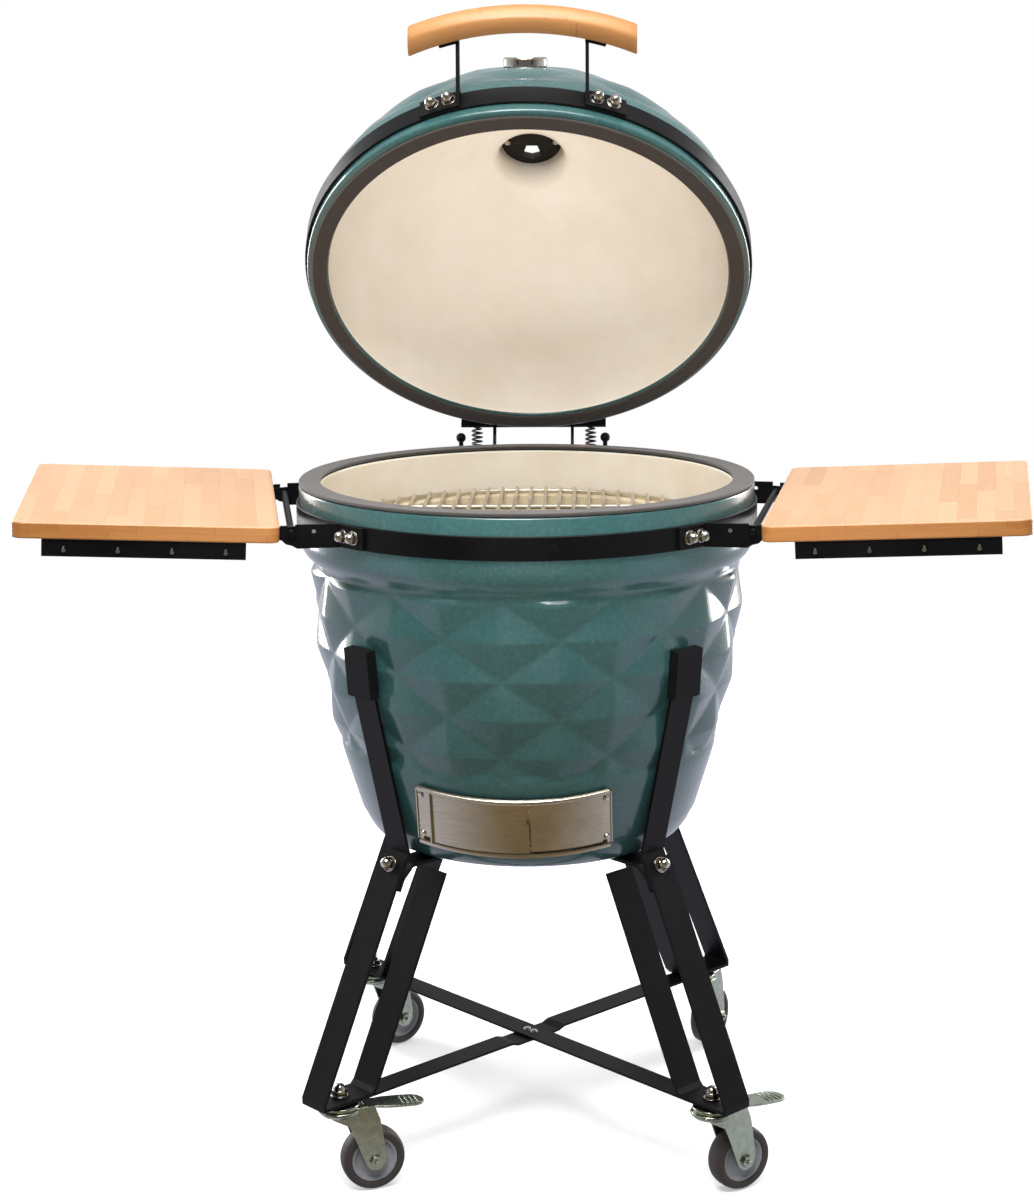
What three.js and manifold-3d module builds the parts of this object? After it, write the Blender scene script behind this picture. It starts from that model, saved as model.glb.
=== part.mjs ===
// Kamado charcoal grill: a ceramic bowl and lid in steel bands, on a strap-steel cart
// with four casters and two folding side shelves. Millimetres, +Z up, front towards -Y.
import * as THREE from 'three';
import { mergeVertices } from 'three/addons/utils/BufferGeometryUtils.js';
import Module from 'manifold-3d';

const wasm = await Module();
wasm.setup();

// ---- driving dimensions ---------------------------------------------------------
const SHIFT_Y = -36.2;                   // bowl axis to the middle of the whole outline
const GAP = 0.3;                       // air between pieces that touch
const RIM_R = 270, RIM_IN = 244;       // ceramic rim, outside and inside
const RIM_Z = 804.5;                   // top of the bowl's ceramic
const FELT = 4;                        // gasket thickness
const SEAM_Z = RIM_Z + GAP + FELT + GAP / 2;
const CONE_Z = 386, CONE_R = 194, CONE_SLOPE = 0.307;   // straight lower wall of the bowl
const BAND_Z0 = 757, BAND_Z1 = 784, BAND_T = 3;
const LID_BAND_Z0 = 17, LID_BAND_Z1 = 44;               // above the seam
const DOME_Z0 = 38, DOME_H = 213, DOME_E = 1.75;
const CHIMNEY_Z = 262;
const HINGE_Y = 296.4, HINGE_Z = 790.4;
const LID_OPEN = 49.5;                 // degrees, as stood open
const LEG_LEAN = 25.5, LEG_W = 40, LEG_T = 4;
const LEG_R = 345, LEG_GAP = 76, FOOT_Z = 113;
const STEM_R = 304;
const WHEEL_R = 37.5, TRAIL = 38;
const CASTER_TURN = [21, 33, 62, 40];  // headings: front left, front right, rear right, rear left
const SHELF_SWEEP = 9;                 // degrees each shelf is swung towards the front
const SHELF_TILT = 3;                  // degrees the outer end stands up
const SHELF_TOP = 791.6, SHELF_T = 18, SHELF_X0 = 299, SHELF_W = 289, SHELF_L = 429;
const FOLD_X = 284, FOLD_Z = 774;      // fold pin of a shelf
const VENT_TURN = -3.4;                // degrees the draft vent sits off the front
const SEG = 36;

const rad = THREE.MathUtils.degToRad;
const group = new THREE.Group();

// ---- shape helpers --------------------------------------------------------------
function solid(geometry) {
  const g = geometry.clone();
  g.deleteAttribute('normal');
  g.deleteAttribute('uv');
  const m = mergeVertices(g, 1e-4);
  return new wasm.Manifold(new wasm.Mesh({
    numProp: 3,
    vertProperties: new Float32Array(m.attributes.position.array),
    triVerts: new Uint32Array(m.index.array),
  }));
}

function lathe(points, segments = SEG, start = 0, length = 360) {
  const g = new THREE.LatheGeometry(points.map(([r, z]) => new THREE.Vector2(r, z)), segments);
  g.rotateX(Math.PI / 2);
  if (length === 360) return solid(g);
  return solid(sector(points, segments, start, length));
}

// part turn of a closed profile, azimuth 0 at the front and growing towards +X
function sector(points, segments, start, length) {
  const positions = [];
  const at = (i, k) => {
    const a = rad(start + (length * i) / segments);
    const [r, z] = points[k];
    return [r * Math.sin(a), -r * Math.cos(a), z];
  };
  const n = points.length - 1;
  const tri = (a, b, c) => positions.push(...a, ...b, ...c);
  for (let i = 0; i < segments; i++) {
    for (let k = 0; k < n; k++) {
      tri(at(i, k), at(i + 1, k), at(i + 1, k + 1));
      tri(at(i, k), at(i + 1, k + 1), at(i, k + 1));
    }
  }
  const outline = points.slice(0, n).map(([r, z]) => new THREE.Vector2(r, z));
  for (const [a, b, c] of THREE.ShapeUtils.triangulateShape(outline, [])) {
    tri(at(0, a), at(0, b), at(0, c));
    tri(at(segments, a), at(segments, c), at(segments, b));
  }
  const g = new THREE.BufferGeometry();
  g.setAttribute('position', new THREE.Float32BufferAttribute(positions, 3));
  return g;
}

function box(cx, cy, cz, sx, sy, sz) {
  return solid(new THREE.BoxGeometry(sx, sy, sz)).translate([cx, cy, cz]);
}

function cyl(r, h, segments = 16, r2 = r) {
  const g = new THREE.CylinderGeometry(r2, r, h, segments);
  g.rotateX(Math.PI / 2);
  return solid(g);                      // axis Z, centred
}

// plate drawn in a plane and given a thickness along +Z before being turned
function plate(points, thickness, holes = []) {
  const shape = new THREE.Shape(points.map(([x, y]) => new THREE.Vector2(x, y)));
  for (const h of holes) shape.holes.push(new THREE.Path(h.map(([x, y]) => new THREE.Vector2(x, y))));
  return solid(new THREE.ExtrudeGeometry(shape, { depth: thickness, bevelEnabled: false }));
}

function ring(r0, r1, z0, z1, segments = SEG) {
  return lathe([[r0, z0], [r1, z0], [r1, z1], [r0, z1], [r0, z0]], segments);
}

const circle = (cx, cy, r, n = 12) => Array.from({ length: n }, (_, i) => {
  const a = (-2 * Math.PI * i) / n;
  return [cx + r * Math.cos(a), cy + r * Math.sin(a)];
});

// strap of width w across a folded centre line given as [u, z] points
function strap(line, w, t) {
  const left = [], right = [];
  line.forEach((p, i) => {
    const a = line[Math.max(0, i - 1)], b = line[Math.min(line.length - 1, i + 1)];
    const d1 = new THREE.Vector2(p[0] - a[0], p[1] - a[1]).normalize();
    const d2 = new THREE.Vector2(b[0] - p[0], b[1] - p[1]).normalize();
    if (i === 0) d1.copy(d2);
    if (i === line.length - 1) d2.copy(d1);
    const m = d1.clone().add(d2).normalize();
    const n = new THREE.Vector2(-m.y, m.x);
    const k = t / 2 / Math.max(0.3, n.dot(new THREE.Vector2(-d1.y, d1.x)));
    left.push([p[0] + n.x * k, p[1] + n.y * k]);
    right.push([p[0] - n.x * k, p[1] - n.y * k]);
  });
  return plate([...right, ...left.reverse()], w).translate([0, 0, -w / 2]).rotate([90, 0, 0]);
}

// dome nut, base on z = 0
function acorn(r = 7, segments = 8) {
  return lathe([[0, 0], [r, 0], [r, r * 0.8], [r * 0.8, r * 1.1], [r * 0.5, r * 1.6], [0, r * 1.8]],
    segments);
}

const union = (...parts) => parts.reduce((a, b) => a.add(b));

// turn from the "radial +X" working pose to an azimuth measured from +X
const spin = (m, degrees) => m.rotate([0, 0, degrees]);

function add(name, manifold, colour, roughness = 0.6, metalness = 0) {
  const mesh = manifold.translate([0, SHIFT_Y, 0]).getMesh();
  const g = new THREE.BufferGeometry();
  const n = mesh.numProp, v = mesh.vertProperties;
  const xyz = new Float32Array((v.length / n) * 3);
  for (let i = 0; i < v.length / n; i++) xyz.set(v.slice(i * n, i * n + 3), i * 3);
  g.setAttribute('position', new THREE.BufferAttribute(xyz, 3));
  g.setIndex(new THREE.BufferAttribute(new Uint32Array(mesh.triVerts), 1));
  const part = new THREE.Mesh(g, new THREE.MeshStandardMaterial({ color: colour, roughness, metalness }));
  part.name = name;
  group.add(part);
}

const GREEN = '#4a6c68', BLACK = '#1c1c1e', FELT_COLOUR = '#3a332d', CREAM = '#e8dcc4';
const STEEL = '#b9b4a4', BAMBOO = '#e2ab62', IRON = '#262422', ZINC = '#a7aa98', RUBBER = '#4a4844';

// ---- bowl -----------------------------------------------------------------------
const coneR = (z) => CONE_R + (z - CONE_Z) * CONE_SLOPE;
const bowlOuter = [[0, 378], [160, 378], [173, 380], [183, 385.5], [190.5, 393], [196.5, 402],
  [coneR(412), 412], [coneR(487), 487], [241, 561],
  [251, 610], [256.5, 655], [257.5, 712], [267, 724], [269.5, 736], [RIM_R, 750], [RIM_R, RIM_Z]];
const bowlInner = [[RIM_IN, RIM_Z], [243, 740], [236, 660], [228, 600], [216, 540], [200, 480],
  [184, 430], [168, 404], [150, 398], [0, 398]];
let bowl = lathe([...bowlOuter, ...bowlInner]);
// the vent is rolled on a cylinder that lies along the bowl's front wall, leaning with it
const VENT_Z = 440, VENT_TILT = Math.atan(CONE_SLOPE);
const VENT_CYL = coneR(VENT_Z) / Math.cos(VENT_TILT);
const patch = (s0, s1, o0, o1, a0, a1) => {
  const [r0, r1] = [VENT_CYL + o0, VENT_CYL + o1];
  return lathe([[r0, s0], [r1, s0], [r1, s1], [r0, s1], [r0, s0]], Math.max(2, Math.round((a1 - a0) / 6)),
    a0, a1 - a0);
};
const onFront = (m) => m.rotate([THREE.MathUtils.radToDeg(VENT_TILT), 0, 0])
  .translate([0, 0, VENT_Z + coneR(VENT_Z) * CONE_SLOPE]).rotate([0, 0, VENT_TURN]);
const DRAFT_HALF = 24, DRAFT_S = 25;
const draftCut = onFront(patch(-DRAFT_S, DRAFT_S, -80, 20, -DRAFT_HALF, DRAFT_HALF));
bowl = bowl.subtract(draftCut);
add('bowl', bowl, GREEN, 0.25);
add('bowl_gasket', ring(RIM_IN + 0.5, RIM_R, RIM_Z + GAP, RIM_Z + GAP + FELT), FELT_COLOUR, 0.95);

// ---- charcoal hardware inside the bowl --------------------------------------------
const FIRE_Z0 = 398 + GAP, FIRE_Z1 = 640, FIRE_RING_Z1 = 752;
let fireBox = lathe([[0, FIRE_Z0], [142, FIRE_Z0], [150, 408], [178, 470], [186, 520], [204, 600],
  [206, FIRE_Z1], [184, FIRE_Z1], [182, 600], [166, 520], [160, 484], [128, 484], [128, 420],
  [0, 420]], 26);
fireBox = fireBox.subtract(box(0, -150, 442, 100, 120, 40));
for (const a of [60, 120, 180, 240, 300]) {
  fireBox = fireBox.subtract(spin(box(0, -185, 545, 34, 60, 16), a));
}
add('fire_box', fireBox, CREAM, 0.9);
add('fire_ring', lathe([[190, FIRE_Z1 + GAP], [212, FIRE_Z1 + GAP], [222, FIRE_RING_Z1], [198, FIRE_RING_Z1],
  [190, FIRE_Z1 + GAP]], 26), CREAM, 0.9);

function plateGrate(r, z0, t, holes) {
  let g = lathe([[0, z0], [r, z0], [r, z0 + t], [0, z0 + t]], 26);
  for (const [x, y, sx, sy] of holes) g = g.subtract(box(x, y, z0 + t / 2, sx, sy, t * 3));
  return g;
}
const slots = [];
for (let i = -4; i <= 4; i++) {
  const half = Math.sqrt(142 * 142 - (i * 28) ** 2) - 12;
  slots.push([i * 28, half / 2 + 4, 14, half - 8], [i * 28, -half / 2 - 4, 14, half - 8]);
}
add('charcoal_grate', plateGrate(150, 484 + GAP, 7, slots), IRON, 0.8, 0.3);

// wire cooking grid: rim ring, bars and two cross wires melted into one piece
function wire(x0, y0, x1, y1, z, r) {
  const len = Math.hypot(x1 - x0, y1 - y0);
  return cyl(r, len, 4).rotate([0, 90, 0])
    .rotate([0, 0, THREE.MathUtils.radToDeg(Math.atan2(y1 - y0, x1 - x0))])
    .translate([(x0 + x1) / 2, (y0 + y1) / 2, z]);
}
const GRID_R = 224, GRID_Z = FIRE_RING_Z1 + GAP + 4;
let grid = ring(GRID_R - 6, GRID_R, GRID_Z - 4, GRID_Z + 3, 32);
for (const y of [-90, 90]) {
  const h = Math.sqrt((GRID_R - 3) ** 2 - y * y);
  grid = grid.add(wire(-h, y, h, y, GRID_Z - 0.5, 3));
}
for (let i = -5; i <= 5; i++) {
  const x = i * 37, h = Math.sqrt((GRID_R - 3) ** 2 - x * x);
  grid = grid.add(wire(x, -h, x, h, GRID_Z + 2.2, 3));
}
add('cooking_grid', grid, STEEL, 0.35, 0.9);

// ---- draft vent: framed window with two panels that slide around the bowl ----------
const VENT_HALF = 29.8, VENT_S = 38.4, RAIL = 5.4;
let ventFrame = union(
  patch(-VENT_S, VENT_S, 2.4, 3.8, -VENT_HALF, VENT_HALF),
  patch(-VENT_S, -VENT_S + 1.4, 2.4, 8.4, -VENT_HALF, VENT_HALF),
  patch(VENT_S - 1.4, VENT_S, 2.4, 8.4, -VENT_HALF, VENT_HALF),
  patch(-VENT_S, -VENT_S + RAIL, 7.2, 8.4, -VENT_HALF, VENT_HALF),
  patch(VENT_S - RAIL, VENT_S, 7.2, 8.4, -VENT_HALF, VENT_HALF));
ventFrame = ventFrame.subtract(patch(-DRAFT_S, DRAFT_S, 0, 5, -DRAFT_HALF, DRAFT_HALF));
for (const a of [-28.1, 28.1]) {
  for (const z of [-26, 26]) {
    const screw = lathe([[0, -0.8], [3, -0.8], [3, 0.6], [2.2, 1.8], [0, 2.2]], 8).rotate([90, 0, 0])
      .translate([0, -VENT_CYL - 3.8, z]);
    ventFrame = ventFrame.add(spin(screw, a));
  }
}
add('vent_frame', onFront(ventFrame), STEEL, 0.35, 0.9);
const DOOR_S = VENT_S - 1.4 - 0.6;
const tab = patch(-11, 11, 5.7, 13, 3.9, 5);
add('draft_door', onFront(patch(-DOOR_S, DOOR_S, 5.6, 6.8, -24.5, 5).add(tab)), STEEL, 0.3, 0.95);
let screen = patch(-DOOR_S, DOOR_S, 4.2, 5.2, 5.4, 26.6);
for (let i = 0; i < 4; i++) {
  for (const z of [-12, 12]) {
    screen = screen.subtract(spin(box(0, -VENT_CYL - 4, z, 9, 16, 14), 9.4 + i * 4.4));
  }
}
add('draft_screen', onFront(screen), STEEL, 0.3, 0.95);

// ---- bands, hinge and springs -------------------------------------------------------
add('bowl_band', ring(RIM_R + 0.4, RIM_R + 0.4 + BAND_T, BAND_Z0, BAND_Z1), BLACK, 0.4, 0.4);

const PIN_X = 58, PIN_R = 5;
// lower hinge: back plate on the band, two cheeks, the pin and the spring anchor bar
const bandBack = RIM_R + 0.4 + BAND_T + GAP;
let hingeLower = plate([[bandBack, BAND_Z0 - 55], [bandBack + 4, BAND_Z0 - 55], [bandBack + 4, BAND_Z1],
  [bandBack, BAND_Z1]], 200).rotate([90, 0, 90]).translate([-100, 0, 0]);
for (const s of [-1, 1]) {
  const cheek = plate([[bandBack + 2, BAND_Z0 - 30], [HINGE_Y + 6, BAND_Z0 - 8], [HINGE_Y + 10, HINGE_Z],
    [HINGE_Y + 7, HINGE_Z + 8], [HINGE_Y - 6, HINGE_Z + 8], [bandBack + 2, BAND_Z1 - 4]], 4)
    .rotate([90, 0, 90]).translate([s * PIN_X - 2, 0, 0]);
  hingeLower = hingeLower.add(cheek);
  const arm = box(s * 75, (bandBack + 318) / 2, BAND_Z0 - 50, 22, 318 - bandBack, 5);
  hingeLower = hingeLower.add(arm);
  hingeLower = hingeLower.add(cyl(3, 74, 8).translate([s * 94, 284, 778]))
    .add(box(s * 94, 280, 752, 12, 12, 8))
    .add(solid(new THREE.IcosahedronGeometry(6.5, 1)).translate([s * 94, 284, 815]));
}
hingeLower = hingeLower.add(cyl(PIN_R, 2 * PIN_X + 20, 20).rotate([0, 90, 0]).translate([0, HINGE_Y, HINGE_Z]));
add('hinge_lower', hingeLower, BLACK, 0.45, 0.4);

// everything on the lid is made closed, then swung open about the hinge
const swing = (m) => m.translate([0, -HINGE_Y, SEAM_Z - HINGE_Z]).rotate([-LID_OPEN, 0, 0])
  .translate([0, HINGE_Y, HINGE_Z]);
const lidBack = RIM_R + 0.4 + BAND_T + GAP;
const hz = HINGE_Z - SEAM_Z;
let hingeUpper = plate([[lidBack, LID_BAND_Z0 - 4], [lidBack + 4, LID_BAND_Z0 - 4],
  [lidBack + 4, LID_BAND_Z1], [lidBack, LID_BAND_Z1]], 190).rotate([90, 0, 90]).translate([-95, 0, 0]);
for (const s of [-1, 1]) {
  const ear = plate([[lidBack + 2, LID_BAND_Z1 - 6], [lidBack + 2, LID_BAND_Z0 - 2],
    [HINGE_Y - 9, hz + 6], [HINGE_Y - 7, hz - 7], [HINGE_Y + 7, hz - 7], [HINGE_Y + 9, hz + 4]], 4)
    .rotate([90, 0, 90]).translate([s * (PIN_X - 7) - 2, 0, 0]);
  hingeUpper = hingeUpper.add(ear);
  const hook = box(s * 75, lidBack + 10, 35, 16, 18, 5);
  hingeUpper = hingeUpper.add(hook);
}
hingeUpper = hingeUpper.subtract(cyl(PIN_R + 0.08, 300, 20).rotate([0, 90, 0]).translate([0, HINGE_Y, hz]));
add('hinge_upper', swing(hingeUpper), BLACK, 0.45, 0.4);

// extension spring drawn as a helix of square wire between two end hooks
function spring(x, y0, z0, y1, z1, coilR, wireR, turns) {
  class Helix extends THREE.Curve {
    getPoint(t, target = new THREE.Vector3()) {
      const a = t * turns * 2 * Math.PI;
      return target.set(coilR * Math.cos(a), coilR * Math.sin(a), t * Math.hypot(y1 - y0, z1 - z0));
    }
  }
  const w = wireR;
  const section = new THREE.Shape([[-w, -w], [w, -w], [0, w]].map(([a, b]) => new THREE.Vector2(a, b)));
  const g = new THREE.ExtrudeGeometry(section, { steps: turns * 7, extrudePath: new Helix(), bevelEnabled: false });
  return solid(g).rotate([-THREE.MathUtils.radToDeg(Math.atan2(y1 - y0, z1 - z0)), 0, 0]).translate([x, y0, z0]);
}
for (const [side, s] of [['left', -1], ['right', 1]]) {
  add(`hinge_spring_${side}`, spring(s * 75, 307, BAND_Z0 - 45, 329, 826, 6.4, 1.3, 14), '#3a3a3c', 0.4, 0.8);
}

// ---- lid ------------------------------------------------------------------------
const dome = (r, z0, h, e, rEnd, n) => {
  const out = [];
  for (let i = 0; i <= n; i++) {
    const a = (Math.PI / 2) * (i / n);
    const p = [r * Math.cos(a) ** (2 / e), z0 + h * Math.sin(a) ** (2 / e)];
    if (p[0] > rEnd) out.push(p);
  }
  return out;
};
const z00 = FELT + 2 * GAP;
const lidProfile = [[RIM_R, z00], ...dome(RIM_R, DOME_Z0, DOME_H, DOME_E, 62, 9), [57, DOME_Z0 + DOME_H - 2],
  [54, CHIMNEY_Z], [39.5, CHIMNEY_Z], [44.5, 222],
  ...dome(RIM_IN, 26, 199, 1.85, 52, 8).reverse(), [RIM_IN, z00], [RIM_R, z00]];
add('lid', swing(lathe(lidProfile)), GREEN, 0.25);
add('lid_gasket', swing(ring(RIM_IN + 1, RIM_R - 6, GAP, GAP + FELT)), FELT_COLOUR, 0.95);
add('lid_band', swing(ring(RIM_R + 0.4, RIM_R + 0.4 + BAND_T, LID_BAND_Z0, LID_BAND_Z1)), BLACK, 0.4, 0.4);

// handle: two folded brackets and a curved bamboo grip
const GRIP_R = 293, GRIP_Y = -339, GRIP_Z = 82, GRIP_HALF = 131;
const POST_X = 74;
for (const [side, s] of [['left', -1], ['right', 1]]) {
  const z0 = LID_BAND_Z0 + 1, z1 = LID_BAND_Z1 - 1;
  const foot = lathe([[RIM_R + 0.4 + BAND_T + GAP, z0], [RIM_R + 7.5, z0], [RIM_R + 7.5, z1],
    [RIM_R + 0.4 + BAND_T + GAP, z1], [RIM_R + 0.4 + BAND_T + GAP, z0]], 4, s > 0 ? 15 : -25.4, 10.4);
  const yf = -Math.sqrt((RIM_R + 5.5) ** 2 - POST_X ** 2);
  const back = GRIP_R - 12.5 - GAP;
  const yb = GRIP_R + GRIP_Y - Math.sqrt((back - 1) ** 2 - (POST_X + 2) ** 2);
  const web = plate([[yf, z0], [yf, z1], [yb, GRIP_Z + 9], [yb, GRIP_Z - 11]].reverse(), 4)
    .rotate([90, 0, 90]).translate([s * POST_X - 2, 0, 0]);
  const a0 = THREE.MathUtils.radToDeg(Math.asin((POST_X - 2) / (back - 1.5)));
  const flange = lathe([[back - 3, GRIP_Z - 11], [back, GRIP_Z - 11], [back, GRIP_Z + 9], [back - 3, GRIP_Z + 9],
    [back - 3, GRIP_Z - 11]], 2, s > 0 ? a0 : -a0 - 5, 5).translate([0, GRIP_R + GRIP_Y, 0]);
  let post = foot.add(web).add(flange);
  for (const a of [17.8, 22]) {
    post = post.add(spin(acorn(6.5).rotate([90, 0, 0]).translate([0, -RIM_R - 7, 30.5]), s * a));
  }
  add(`handle_post_${side}`, swing(post), BLACK, 0.4, 0.4);
}
const sag = Math.asin((GRIP_HALF + 12) / GRIP_R);
let grip = lathe([[GRIP_R - 12.5, -10], [GRIP_R - 8.5, -14], [GRIP_R + 8.5, -14], [GRIP_R + 12.5, -10],
  [GRIP_R + 12.5, 10], [GRIP_R + 8.5, 14], [GRIP_R - 8.5, 14], [GRIP_R - 12.5, 10], [GRIP_R - 12.5, -10]],
  14, -THREE.MathUtils.radToDeg(sag), 2 * THREE.MathUtils.radToDeg(sag));
grip = grip.translate([0, GRIP_R + GRIP_Y, GRIP_Z]);
grip = grip.intersect(box(0, GRIP_Y + 30, GRIP_Z, 2 * GRIP_HALF, 120, 60));
add('handle_grip', swing(grip), BAMBOO, 0.5);

// thermometer in the lid's front and the cast vent on its chimney
const THERMO_Y = -224.5, THERMO_Z = 140, THERMO_TILT = 40;
let thermo = lathe([[0, -9], [22, -9], [26, -7], [26, 5], [24.5, 8], [22.5, 8], [21.5, 6], [0, 6]], 22)
  .rotate([90 - THERMO_TILT, 0, 0]).translate([0, THERMO_Y, THERMO_Z]);
thermo = thermo.subtract(lathe(lidProfile).add(lathe([[0, z00], [RIM_R - 20, z00], [RIM_IN, 40], [200, 150],
  [0, 150]])));
thermo = thermo.translate([0, -GAP * Math.cos(rad(THERMO_TILT)), GAP * Math.sin(rad(THERMO_TILT))]);
add('thermometer', swing(thermo), '#c9c9c6', 0.2, 0.9);

const VENT_R = 60;
const petal = (a) => {
  const pts = [[11, -7], [30, -13], [34, 0], [30, 13], [11, 7]];
  return plate(pts, 40).rotate([0, 0, a]);
};
let ventBase = lathe([[0, CHIMNEY_Z + GAP], [VENT_R, CHIMNEY_Z + GAP], [VENT_R, CHIMNEY_Z + 6],
  [0, CHIMNEY_Z + 6]], 26)
  .add(ring(57, VENT_R, CHIMNEY_Z - 8, CHIMNEY_Z + 2, 26))
  .add(cyl(4, 16, 12).translate([0, 0, CHIMNEY_Z + 11]))
  .subtract(petal(90).translate([0, 0, CHIMNEY_Z - 10]));
add('vent_base', swing(ventBase), IRON, 0.8, 0.3);
let ventDisc = lathe([[4.1, CHIMNEY_Z + 6 + GAP], [52, CHIMNEY_Z + 6 + GAP], [52, CHIMNEY_Z + 11],
  [12, CHIMNEY_Z + 13], [12, CHIMNEY_Z + 16], [4.1, CHIMNEY_Z + 16], [4.1, CHIMNEY_Z + 6 + GAP]], 26);
ventDisc = ventDisc.add(box(0, -56, CHIMNEY_Z + 10, 16, 16, 5));
for (const a of [90, 210, 330]) ventDisc = ventDisc.subtract(petal(a).translate([0, 0, CHIMNEY_Z - 2]));
add('vent_disc', swing(ventDisc), IRON, 0.8, 0.3);

// ---- cart -------------------------------------------------------------------------
const lean = Math.tan(rad(LEG_LEAN));
const ARM_TOP = 385, INNER_TOP = 356;
const arm = (z, offset) => LEG_R - offset - (z - FOOT_Z) * lean;
const corners = { front_left: 225, front_right: 315, rear_right: 45, rear_left: 135 };
const BAR_Z = FOOT_Z - 0.3 - 1.5;
const RING_Z = 372.7;
Object.entries(corners).forEach(([name, azimuth], i) => {
  const fz = FOOT_Z + LEG_T / 2;
  // leg: outer arm, foot plate and inner arm in one folded strap
  const line = [[arm(ARM_TOP, 0), ARM_TOP], [arm(fz + 6, 0), fz + 6], [arm(fz, 0) - 3, fz],
    [arm(fz, LEG_GAP) + 3, fz], [arm(fz + 6, LEG_GAP), fz + 6], [arm(INNER_TOP, LEG_GAP), INNER_TOP]];
  let leg = strap(line, LEG_W, LEG_T);
  leg = leg.subtract(cyl(5.6, 30, 12).translate([STEM_R, 0, fz]));
  const bolt = acorn(7).rotate([0, 90 - LEG_LEAN, 0]).translate([arm(377, 0) + 1.6, 0, 377.6]);
  leg = leg.add(bolt);
  add(`leg_${name}`, spin(leg, azimuth), BLACK, 0.45, 0.4);

  // upright: short foot against the arm, then out and up beside the bowl to its pad
  const inner = (z) => arm(z, LEG_T / Math.cos(rad(LEG_LEAN)) + GAP + 0.1);
  const upLine = [[inner(352), 352], [inner(391), 391], [256.8, 598], [257.6, 632]];
  add(`upright_${name}`, spin(strap(upLine, 36, 3.6), azimuth), BLACK, 0.45, 0.4);
  let pad = box(0, 0, 0, 13, 40, 56).rotate([0, 5, 0]).translate([258.6, 0, 612]);
  pad = pad.subtract(strap([...upLine.slice(1, 3), [257.8, 640]], 36.6, 4.4));
  pad = pad.subtract(lathe([[0, 500], [229, 500], [241.4, 561], [251.4, 610], [256.9, 655], [257.5, 700],
    [0, 700]], SEG).rotate([0, 0, -azimuth]));
  add(`pad_${name}`, spin(pad, azimuth), RUBBER, 0.9);

  // caster: fork with its stem and nut, tyre, hub and, at the front, a brake pedal
  const heading = CASTER_TURN[i];
  const stem = [STEM_R * Math.cos(rad(azimuth)), STEM_R * Math.sin(rad(azimuth)), 0];
  const place = (m) => spin(m, heading).translate(stem);
  const top = BAR_Z - 1.5 - GAP;
  const cheek = plate([[-20, top - 12], [20, top - 12], [24, top - 4], [38, top - 4], [42, top - 16],
    [TRAIL + 12, WHEEL_R + 6], [TRAIL + 9, WHEEL_R - 8],
    [TRAIL - 9, WHEEL_R - 8], [TRAIL - 14, WHEEL_R + 6]].reverse(), 3).rotate([90, 0, 0]);
  let fork = lathe([[0, top - 14], [22, top - 14], [25, top - 8], [21, top - 5], [21, top], [0, top]], 12)
    .add(cheek.translate([0, 16.5, 0])).add(cheek.translate([0, -13.5, 0]))
    .add(cyl(4, 34, 12).rotate([90, 0, 0]).translate([TRAIL, 0, WHEEL_R]))
    .add(cyl(7, 40, 6).rotate([90, 0, 0]).translate([TRAIL, 0, WHEEL_R])
      .subtract(box(TRAIL, 0, WHEEL_R, 30, 33, 30)))
    .add(cyl(5, 22, 12).translate([0, 0, top + 8]));
  fork = fork.add(cyl(9, 7, 6).translate([0, 0, FOOT_Z + LEG_T + GAP + 3.5]))
    .add(acorn(7.5).translate([0, 0, FOOT_Z + LEG_T + GAP + 6.5]));
  add(`caster_fork_${name}`, place(fork), ZINC, 0.35, 0.8);
  const wheelPart = (m) => place(m.rotate([90, 0, 0]).translate([TRAIL, 0, WHEEL_R]));
  add(`caster_hub_${name}`, wheelPart(lathe([[4.1, -12], [10, -12], [11, -7], [27, -9], [27, 9],
    [11, 7], [10, 12], [4.1, 12], [4.1, -12]], 18)), '#b4b6ba', 0.6);
  add(`caster_tyre_${name}`, wheelPart(lathe([[27 + GAP, -11], [34, -12], [WHEEL_R, -5], [WHEEL_R, 5], [34, 12],
    [27 + GAP, 11], [27 + GAP, -11]], 18)), '#6d665c', 0.8);
  if (azimuth > 180) {
    const pedal = plate([[27, -12.5], [44, -12.5], [52, -15], [88, -15], [99, -9], [101, 0], [99, 9], [88, 15], [52, 15],
      [44, 12.5], [27, 12.5]], 3).rotate([0, 4, 0]).translate([0, 0, top - 5.5])
      .add(box(30, 0, top - 9, 8, 25.6, 8));
    add(`brake_pedal_${name}`, place(pedal), ZINC, 0.4, 0.8);
  }
});

// two crossed floor bars; the second one steps under the first
const BAR_W = 30, BAR_T = 3, barEnd = STEM_R + 14;
function crossbar(stepDown) {
  const z = BAR_Z;
  const line = stepDown
    ? [[-barEnd, z], [-44, z], [-34, z - BAR_T - GAP], [34, z - BAR_T - GAP], [44, z], [barEnd, z]]
    : [[-barEnd, z], [barEnd, z]];
  let bar = strap(line, BAR_W, BAR_T);
  for (const s of [-1, 1]) bar = bar.subtract(cyl(5.6, 20, 12).translate([s * STEM_R, 0, z]));
  return bar;
}
const upperBar = crossbar(false).add(union(...[-6, 6].map((x) => lathe(
  [[0, 0], [4.5, 0], [3.5, 1.8], [0, 2.4]], 10).translate([x, 0, BAR_Z + 1.4]))));
add('crossbar_upper', spin(upperBar, 135), BLACK, 0.45, 0.4);
add('crossbar_lower', spin(crossbar(true), 45), BLACK, 0.45, 0.4);

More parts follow.
